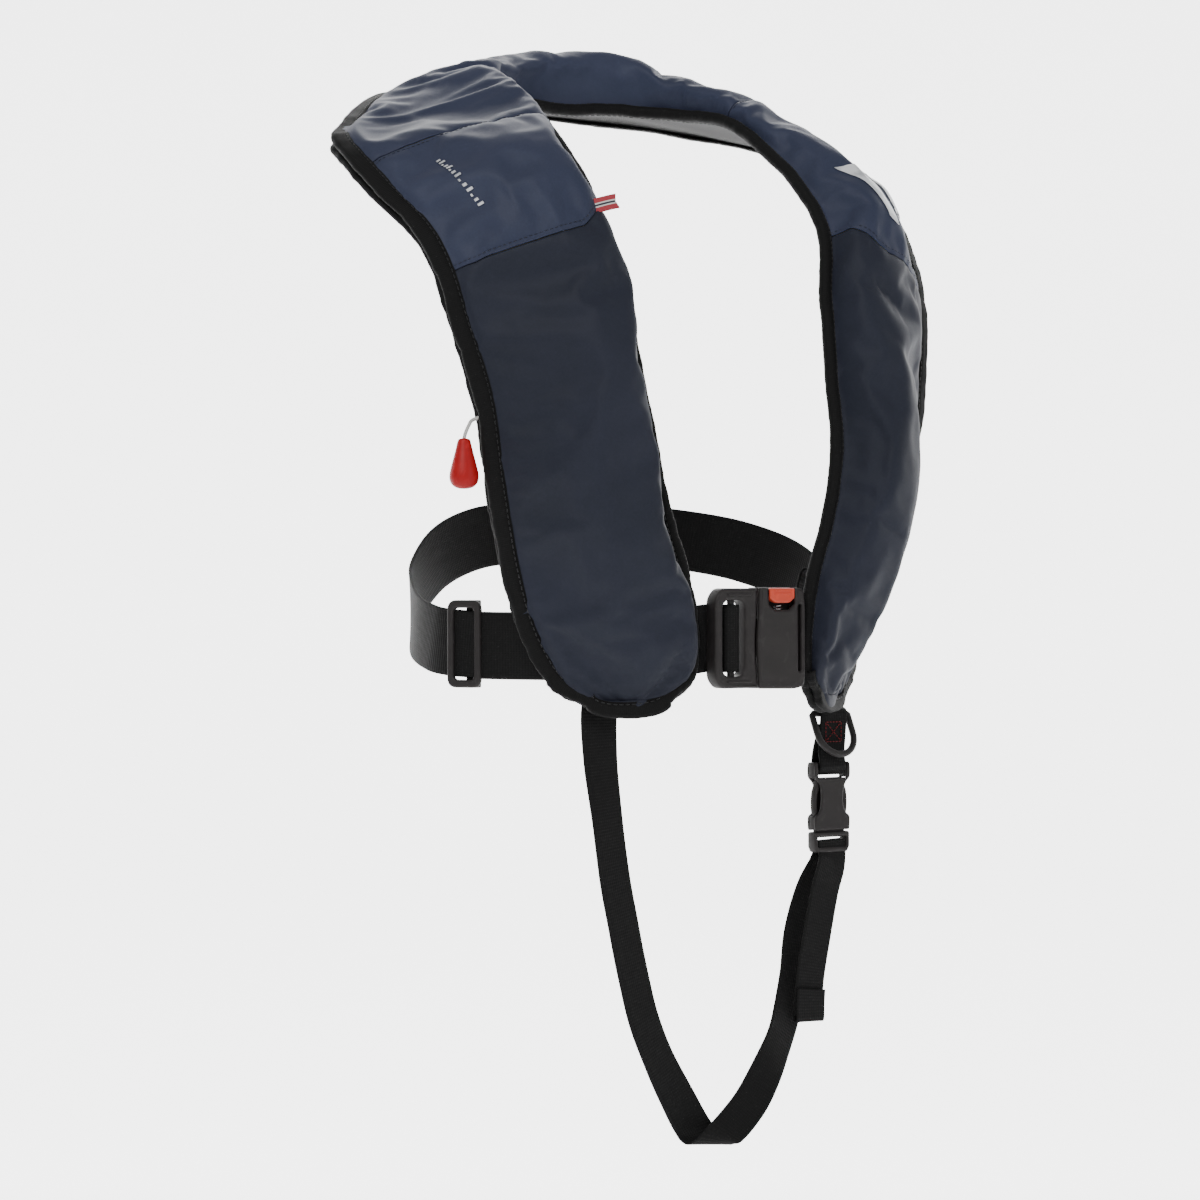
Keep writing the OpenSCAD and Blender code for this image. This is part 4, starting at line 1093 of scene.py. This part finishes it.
clip_x, clip_y, clip_top = 104, -111, -470
SOCKET_L, PLUG_TOP = 49, -520
bar_z = clip_top - 3
wrap = 2.5 + WEB_T / 2 + 0.8
anchor_route = [
    [spot(11.6, 96, -9) / MM, normal_at(11.6)], [spot(12.3, 86, -9) / MM, normal_at(12.3)],
    [[110, -99, -418], [0.35, -0.94, 0]], [[108.5, -104.5, -426], [0.15, -1, 0]],
    [[107.5, -112, -433], [0, -1, 0]], [[107, -112.6, -440], [0, -1, 0]],
    [[106, -112.8, -450], [0, -1, 0]], [[104.8, -113, -463], [0, -1, 0]],
    [[clip_x, clip_y - wrap, bar_z + 2], [0, -1, 0]], [[clip_x, clip_y - wrap, bar_z - 2], [0, -1, 0]],
    [[clip_x, clip_y, bar_z - wrap - 1.6], [0, 0, -1]],
    [[clip_x, clip_y + wrap, bar_z - 2], [0, 1, 0]], [[clip_x, clip_y + wrap, bar_z + 5], [0, 1, 0]],
    [[104.5, -108.4, bar_z + 14], [0, 1, 0]], [[105.5, -110.7, -451], [0, 1, 0]],
    [[106, -110.7, -444], [0, 1, 0]],
]
finish_piece(ribbon("anchor_web", anchor_route, STRAP_W - 1, 1.8, 8), "jacket", "webbing", ["anchor_webbing"])


def sewn(name, corners_, nodes=(), slot="stitch_red", normal=(0, -1, 0), gap=2.6, long=2.0, thick=0.36):
    """Straight runs of stitches between pairs of points in mm, as one piece."""
    parts = []
    for k, (a, b) in enumerate(corners_):
        path = np.linspace(np.array(a, float) * MM, np.array(b, float) * MM, 12)
        parts.append(stitches(f"{name}_{k}", path, np.tile(normal, (12, 1)), None, slot, None, gap, long, thick))
    return finish_piece(joined(name, parts), "jacket", slot, nodes)


tack = (106, -114.0, -449)


def near_tack(x, z):
    return (tack[0] + x, tack[1], tack[2] + z)


sewn("bar_tack_stitches", [
    (near_tack(-6, -6), near_tack(6, 6)), (near_tack(-6, 6), near_tack(6, -6)),
    (near_tack(-7, 7), near_tack(7, 7)), (near_tack(-7, -7), near_tack(7, -7)),
    (near_tack(-7, -7), near_tack(-7, 7)), (near_tack(7, -7), near_tack(7, 7))], ["bar_tacks"])
top_pos, _, top_side, top_face = route_frames(anchor_route[:5], 6)
for k, offset in enumerate((-9, 9)):
    line = top_pos[4:20] + top_side[4:20] * offset * MM + top_face[4:20] * 1.0 * MM
    stitches(f"anchor_brown_stitches_{k}", line, top_face[4:20], "jacket", "stitch_red",
             MATERIALS["stitch_red"], 3.0, 2.2, 0.32)

# ---- Waist buckle and slider -------------------------------------------------------



def at_buckle(depth):
    """Plate frame at the buckle, with its middle this far behind the buckle's middle."""
    return facing((0, BUCKLE[1] + depth, BUCKLE[2]))


frame_outline = rounded([
    (LEFT_X + 6, -34), (SPLIT_X + 0.2, -34), (SPLIT_X - 1.2, -16), (SPLIT_X - 1.8, 0),
    (SPLIT_X - 0.6, 14), (SPLIT_X + 0.2, 34), (LEFT_X + 6, 34), (LEFT_X, 27.5), (LEFT_X, -27.5)],
    [3, 1.5, 6, 6, 6, 1.5, 3, 5, 5])
slot_hole = box_outline(LEFT_X + 6.5, LEFT_X + 25.5, -26, 26, 7)
tongue_parts = [
    plate("tongue_frame", [frame_outline, slot_hole], 12, 2.0, at_buckle(0), 3),
    plate("tongue_blade", [rounded([(SPLIT_X - 3, -12), (SPLIT_X + 22, -12), (SPLIT_X + 27, -7),
                                    (SPLIT_X + 27, 7), (SPLIT_X + 22, 12), (SPLIT_X - 3, 12)], [2])],
          4.2, 0.8, at_buckle(0)),
    plate("tongue_bar", [box_outline(GRIP_X - 2.5, GRIP_X + 2.5, -27, 27, 1)], 3, 0.9, at_buckle(0)),
]
for k in range(2):
    y = 29.6 if k else -29.6
    tongue_parts.append(plate(f"tongue_rib_{k}", [box_outline(LEFT_X + 10, SPLIT_X - 6, y - 0.7, y + 0.7, 0.6)],
                              1.2, 0.4, at_buckle(-6.2)))
tongue = joined("buckle_tongue_moulding", tongue_parts)
finish_piece(tongue, "buckle_tongue", "black_plastic", ["buckle_tongue"])

cut_half = BUTTON_X - 11.4, BUTTON_X + 11.4
house_outline = rounded(
    [(SPLIT_X + 0.8, -34.5), (RIGHT_X - 8, -35), (RIGHT_X - 1, -33), (RIGHT_X - 0.2, -20), (RIGHT_X - 0.2, 22),
     (RIGHT_X - 2, 33), (cut_half[1] + 1.6, 34.6), (cut_half[1], 34.6), (cut_half[1], 22.9), (cut_half[1] - 5, 19.2),
     (cut_half[0] + 5, 19.2), (cut_half[0], 22.9), (cut_half[0], 34.6), (SPLIT_X + 1.2, 34.6),
     (SPLIT_X + 0.4, 14), (SPLIT_X - 0.8, 0), (SPLIT_X - 0.2, -16)],
    [1.5, 4, 3, 3, 3, 3, 0.5, 0.8, 1, 1, 1, 1, 0.8, 1.5, 6, 6, 6])
whole_outline = rounded(
    [(SPLIT_X + 0.8, -34.5), (RIGHT_X - 8, -35), (RIGHT_X - 1, -33), (RIGHT_X - 0.2, -20), (RIGHT_X - 0.2, 22),
     (RIGHT_X - 2, 33), (RIGHT_X - 4, 34.6), (SPLIT_X + 1.2, 34.6),
     (SPLIT_X + 0.4, 14), (SPLIT_X - 0.8, 0), (SPLIT_X - 0.2, -16)],
    [1.5, 4, 3, 3, 3, 3, 2, 1.5, 6, 6, 6])
side_slot = box_outline(RIGHT_X - 6.2, RIGHT_X - 3.6, -23, 23, 1.2)
inner_outline = rounded(
    [(SPLIT_X + 2, -33), (RIGHT_X - 9, -33), (RIGHT_X - 9, 14.5), (SPLIT_X + 2, 14.5),
     (SPLIT_X + 2, 13.5), (SPLIT_X + 31, 13.5), (SPLIT_X + 31, -13.5), (SPLIT_X + 2, -13.5)], [0.6])
house = joined("buckle_housing_moulding", [
    plate("housing_front", [house_outline, side_slot], 4.4, 1.9, at_buckle(-5.3), 3),
    plate("housing_core", [inner_outline], 6.6, 0.2, at_buckle(0)),
    plate("housing_back", [whole_outline, side_slot], 2.6, 1.0, at_buckle(6.2), 3),
    plate("housing_side", [box_outline(RIGHT_X - 3.4, RIGHT_X - 0.4, -31, 31, 1.2)], 12, 1.0, at_buckle(0)),
])
finish_piece(house, "jacket", "black_plastic", ["buckle_housing"])

button_outline = rounded(
    [(BUTTON_X - 10.9, 34.2), (BUTTON_X - 10.9, 27.3), (BUTTON_X - 6.2, 24), (BUTTON_X + 6.2, 24),
     (BUTTON_X + 10.9, 27.3), (BUTTON_X + 10.9, 34.2)], [1.2])
button = joined("release_button_moulding", [
    plate("button_front", [button_outline], 5, 1.2, at_buckle(-4.7), 3),
    plate("button_top", [box_outline(BUTTON_X - 10.9, BUTTON_X + 10.9, 27.5, 34.3, 1)], 8, 1.0, at_buckle(0.2), 3),
    plate("button_rib_a", [box_outline(BUTTON_X - 7, BUTTON_X + 7, 29.6, 30.6, 0.4)], 0.9, 0.3, at_buckle(-7.3)),
    plate("button_rib_b", [box_outline(BUTTON_X - 7, BUTTON_X + 7, 32.0, 33.0, 0.4)], 0.9, 0.3, at_buckle(-7.3)),
])
finish_piece(button, "release_button", "button_plastic", ["release_button"])

turns, coil_r = 3, 3.0
z0, z1 = BUCKLE[2] + 15 + 0.9, BUCKLE[2] + 35 - 0.5 - 11 - 0.9
k = np.linspace(0, 1, 36 * turns)
coil = np.stack([BUTTON_X + coil_r * np.cos(2 * np.pi * turns * k),
                 BUCKLE[1] - 0.6 + coil_r * np.sin(2 * np.pi * turns * k), z0 + (z1 - z0) * k], axis=1) * MM
spring = tube("button_spring_wire", coil, 0.45 * MM, 10)
finish_piece(spring, None, "bright_steel", ["button_spring"])

slider_matrix = Matrix.Translation(Vector((-155, -38, -385)) * MM) @ Matrix.Rotation(math.radians(-65.3), 4, "Z") \
    @ Matrix.Rotation(math.radians(90), 4, "X")


def on_slider(z):
    return slider_matrix @ Matrix.Translation(Vector((0, 0, z * MM)))


slider = joined("belt_slider_moulding", [
    plate("slider_ring", [box_outline(-13.5, 13.5, -30, 30, 7), box_outline(-8.3, 8.3, -24.6, 24.6, 3.4)],
          4.2, 1.6, on_slider(3.8), 3),
    plate("slider_bar", [box_outline(-2.5, 2.5, -29, 29, 1)], 3, 1.0, on_slider(-3.2)),
    plate("slider_foot_top", [box_outline(-8.5, 8.5, 25, 30, 1.2)], 6.5, 0.8, on_slider(-1.3)),
    plate("slider_foot_low", [box_outline(-8.5, 8.5, -30, -25, 1.2)], 6.5, 0.8, on_slider(-1.3)),
])
finish_piece(slider, "belt_slider", "black_plastic", ["belt_slider"])

# ---- D-ring, side-release buckle and handle ----------------------------------------

ring_frame = Matrix.Translation(Vector((107, -108, -436)) * MM) @ Matrix.Rotation(math.radians(-25), 4, "X")
r, drop = 16.3, 34 - 16.3 - 2.3
arc = np.linspace(math.pi, 2 * math.pi, 30)
ring_line = [(-r + 2 * r * q, 0, 0) for q in np.linspace(0.06, 0.94, 10)][::-1]
ring_line += [(-r, 0, -1.6 - (drop - 1.6) * q) for q in np.linspace(0, 1, 6)[:-1]]
ring_line += [(r * math.cos(a), 0, -drop + r * math.sin(a)) for a in arc]
ring_line += [(r, 0, -drop + (drop - 1.6) * q) for q in np.linspace(0, 1, 6)[1:]]
ring = tube("d_ring_moulding", np.array(ring_line) * MM, 2.4 * MM, 18, closed=True, flat=1.0)
ring.data.transform(ring_frame)
finish_piece(ring, "d_ring", "black_plastic", ["d_ring"])


def on_clip(z, depth):
    """Plate frame at the clip: origin at the middle, z mm up in the row frame, depth behind."""
    return facing((clip_x, clip_y + depth, z))


base = clip_top - SOCKET_L
ear_outline = rounded([
    (-15.6, 0), (15.6, 0), (16, 6), (15.8, 10), (12.2, 12.2), (10.2, 16), (9.4, 23), (10.2, 30), (12.4, 34.4),
    (16, 37.5), (16.2, 44), (15.4, 48.2), (13.2, 48.6), (12.9, 37.2), (-12.9, 37.2), (-13.2, 48.6), (-15.4, 48.2),
    (-16.2, 44), (-16, 37.5), (-12.4, 34.4), (-10.2, 30), (-9.4, 23), (-10.2, 16), (-12.2, 12.2), (-15.8, 10), (-16, 6)],
    [1.5, 1.5, 2, 2.5, 2, 3, 3, 3, 2, 3, 3, 2, 1.2, 0.8, 0.8, 1.2, 2, 3, 3, 2, 3, 3, 3, 2, 2.5, 2])
socket = joined("clip_socket_moulding", [
    plate("socket_front", [ear_outline], 2.6, 1.1, on_clip(base, -3.7), 3),
    plate("socket_back", [ear_outline], 2.6, 1.1, on_clip(base, 3.7), 3),
    plate("socket_side_a", [box_outline(-15.6, -13.4, 0.4, 10, 0.8)], 6.4, 0.2, on_clip(base, 0)),
    plate("socket_side_b", [box_outline(13.4, 15.6, 0.4, 10, 0.8)], 6.4, 0.2, on_clip(base, 0)),
    plate("socket_ear_a", [box_outline(-16, -13.1, 37.4, 48.4, 1)], 7, 0.6, on_clip(base, 0)),
    plate("socket_ear_b", [box_outline(13.1, 16, 37.4, 48.4, 1)], 7, 0.6, on_clip(base, 0)),
    plate("socket_bar", [box_outline(-14, 14, 43.6, 48.2, 1)], 4.6, 1.2, on_clip(base, 0), 3),
])
finish_piece(socket, "jacket", "black_plastic", ["clip_socket"])

plug_base_outline = rounded([(-15.8, -9), (-14.6, -15), (14.6, -15), (15.8, -9), (16, -1.6), (15.2, -0.2),
                             (-15.2, -0.2), (-16, -1.6)], [3, 3, 3, 3, 1, 1, 1, 1])
plug_window = box_outline(-13.2, 13.2, -11, -4, 1)
plug = joined("clip_plug_moulding", [
    plate("plug_base", [plug_base_outline, plug_window], 9.6, 1.8, on_clip(PLUG_TOP, 0), 3),
    plate("plug_stub", [box_outline(-12.6, 12.6, -2, 2.4, 0.6)], 4.6, 0.5, on_clip(PLUG_TOP, 0)),
    plate("plug_guide", [rounded([(-1.9, 0), (1.9, 0), (1.9, 30), (0, 32), (-1.9, 30)], [0.8])], 4.4, 0.8,
          on_clip(PLUG_TOP, 0)),
])
finish_piece(plug, "clip_plug", "black_plastic", ["clip_plug"])

for side, word in ((-1, "right"), (1, "left")):
    arm_outline = [(7.8, 3.2), (12.2, 3.2), (13.4, 8), (15.2, 14.5), (15.6, 22), (14.8, 29), (12.9, 33.2),
                   (12.4, 37.4), (9.2, 38), (8.2, 34.4), (11.4, 28.6), (12.4, 22), (12, 15.5), (9.6, 9)]
    outline = rounded([(side * x, y) for x, y in arm_outline], [1, 1, 3, 3, 4, 3, 2, 1.5, 1.5, 1.5, 3, 4, 3, 3])
    if side < 0:
        outline = outline[::-1]
    arm = plate(f"clip_arm_{word}_moulding", [outline], 4.4, 1.1, on_clip(PLUG_TOP, 0), 3)
    finish_piece(arm, f"clip_arm_{word}", "black_plastic", [f"clip_arm_{word}"])

HANDLE = (-203, -109, -249)
handle_profile = [(0.05, 0.5), (1.3, 0.5), (1.5, 0.0), (2.8, 0.0), (3.9, -0.5), (4.4, -1.8), (5.1, -5), (6.1, -9),
                  (7.3, -13.5), (8.5, -18), (9.5, -22), (9.9, -25), (9.4, -28.4), (7.6, -31), (4.6, -32.7),
                  (1.6, -33), (0.05, -33)]
handle = lathe("pull_handle_drop", handle_profile, Matrix.Translation(Vector(HANDLE) * MM), 40)
fine = handle.modifiers.new("fine", "SUBSURF")
fine.levels = fine.render_levels = 1
apply_all(handle)
finish_piece(handle, "pull_handle", "red_plastic", ["pull_handle"])

# ---- Striped tab and reflective shape ----------------------------------------------


def on_cover(s, t, lift):
    """Point on the finished cover, lift mm above it."""
    row = np.interp(s, ROWS, np.arange(len(ROWS)))
    col = np.interp(t, PANEL_T, np.arange(len(PANEL_T)))
    i, j = int(min(row, len(ROWS) - 2)), int(min(col, len(PANEL_T) - 2))
    f, g = row - i, col - j
    out = 0
    for grid, scale in ((cover_top, 1), (cover_n, lift * MM)):
        out = out + scale * ((1 - f) * ((1 - g) * grid[i, j] + g * grid[i, j + 1])
                             + f * ((1 - g) * grid[i + 1, j] + g * grid[i + 1, j + 1]))
    return out


def lobe_axes(foot, head, side):
    a, b = (spot(side * q[0], q[1], q[2]) / MM for q in (foot, head))
    y = unit(b - a)
    x = unit(np.cross(y, normal_at(side * (foot[0] + head[0]) / 2)))
    return x, y, np.cross(x, y), b


tx, ty, tz, _ = lobe_axes((6.7, 0, 4.5), (6.3, 0, 4.5), -1)
to = on_cover(-6.2, 0.1, 2.2) / MM
u = np.linspace(0, 1, 14)
v = np.linspace(0, 1, 15)
bend = 1.6 * np.sin(u * 2.4)
ends = 1.6 * (1 - np.abs(2 * v - 1))
tab_points = np.array([[to + tx * (-4 + (18 - ends[j] * u[i]) * u[i]) + ty * (-15 + 10 * v[j]) + tz * (bend[i] - 0.4)
                        for j in range(15)] for i in range(14)]) * MM
tab_uv = np.array([[(0.012 * u[i], 0.01 * v[j]) for j in range(15)] for i in range(14)])
tab = grid_object("striped_tab_ribbon", tab_points, tab_uv)
thick = tab.modifiers.new("thick", "SOLIDIFY")
thick.thickness = 1.2 * MM
thick.offset = 0
apply_all(tab)
finish_piece(tab, "jacket", "tab_ribbon", ["striped_tab"])


def patch(name, corners_st, nodes, material_slot, rows=14, cols=10):
    """Thin shape on the cover between four (station, share across) corners."""
    (s0, t0), (s1, t1), (s2, t2), (s3, t3) = corners_st
    points = []
    for i in range(rows + 1):
        f = i / rows
        line = []
        for j in range(cols + 1):
            g = j / cols
            s = (1 - f) * ((1 - g) * s0 + g * s1) + f * ((1 - g) * s3 + g * s2)
            t = (1 - f) * ((1 - g) * t0 + g * t1) + f * ((1 - g) * t3 + g * t2)
            line.append(on_cover(s, t, 2.0))
        points.append(line)
    obj = grid_object(name, np.array(points))
    thick = obj.modifiers.new("thick", "SOLIDIFY")
    thick.thickness = 0.4 * MM
    thick.offset = 0
    apply_all(obj)
    return finish_piece(obj, "jacket", material_slot, nodes)


patch("reflective_mark_long", [(5.14, 0.10), (5.2, 0.20), (6.05, 0.32), (6.0, 0.25)], ["reflective_mark"], "reflective")
patch("reflective_mark_short", [(5.28, 0.27), (5.32, 0.32), (5.9, 0.41), (5.88, 0.37)], [], "reflective")
for q in range(14):
    at = -5.86 + 0.075 * q
    patch(f"care_dash_{q:02d}", [(at, 0.70 + 0.012 * (q % 3)), (at, 0.735), (at + 0.035, 0.735),
                                 (at + 0.035, 0.70 + 0.012 * (q % 3))], [], "reflective", 1, 1)

# ---- Hidden gear: the CAD solids with their own materials ----------------------------

for node, slot in (("gas_cylinder", "gas_steel"), ("inflator_body", "inflator_plastic"),
                   ("inflator_lever", "black_plastic"), ("lever_pin", "bright_steel"),
                   ("oral_tube", "tube_rubber"), ("tube_cap", "red_plastic"), ("whistle", "whistle_plastic")):
    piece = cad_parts[node]
    piece.data.materials.clear()
    piece.data.materials.append(MATERIALS[slot])

# ---- Pieces that bend between two bodies, and the free cords --------------------------

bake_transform(pull_cord)
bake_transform(crotch_strap)
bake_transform(belt_end)
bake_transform(spring)


# ---- Stage and light ------------------------------------------------------------------

stage_profile = [(-4.0, -1.25), (-2.0, -1.25), (0.6, -1.25), (1.9, -1.25), (2.5, -1.15), (2.9, -0.85), (3.1, -0.4),
                 (3.15, 0.6), (3.15, 2.6)]
forward = np.array([0.5736, 0.8192, 0])
sideways = np.array([0.8192, -0.5736, 0])
sweep = np.array([[forward * d + sideways * x + [0, 0, z] for x in np.linspace(-5, 5, 3)] for d, z in stage_profile])
floor = grid_object("floor", sweep)
white = Shade("stage_white")
white.put("Base Color", white.ramp(white.noise(3, 2), [(0.3, (0.86, 0.86, 0.86)), (0.7, (0.9, 0.9, 0.9))]))
white.put("Roughness", 0.9)
white.put("Emission Color", (1, 1, 1, 1))
far = white.tree.nodes.new("ShaderNodeVectorMath")
far.operation = "DOT_PRODUCT"
far.inputs[1].default_value = forward
white.link(white.place.outputs["Object"], far.inputs[0])
white.put("Emission Strength", white.ramp(white.math("DIVIDE", far.outputs["Value"], 4), [(0.3, (0.3,) * 3), (0.55, (3.4,) * 3)]))
floor.data.materials.append(white.mat)

world = bpy.data.worlds.new("studio")
SCENE.world = world
world.use_nodes = True
world.node_tree.nodes["Background"].inputs["Color"].default_value = (1, 1, 1, 1)
world.node_tree.nodes["Background"].inputs["Strength"].default_value = 0.4


def softbox(name, at, aim, size, power):
    lamp = bpy.data.lights.new(name, "AREA")
    lamp.shape = "DISK"
    lamp.size = size
    lamp.energy = power
    obj = bpy.data.objects.new(name, lamp)
    SCENE.collection.objects.link(obj)
    obj.location = at
    obj.rotation_euler = (Vector(aim) - Vector(at)).to_track_quat("-Z", "Y").to_euler()


softbox("key", (-2.2, -1.6, 1.9), (0, 0, -0.3), 1.6, 52)
softbox("fill", (0.9, -2.6, 0.4), (0, 0, -0.4), 1.8, 12)
softbox("rim", (1.2, 2.0, 1.8), (0, 0, -0.2), 1.4, 26)
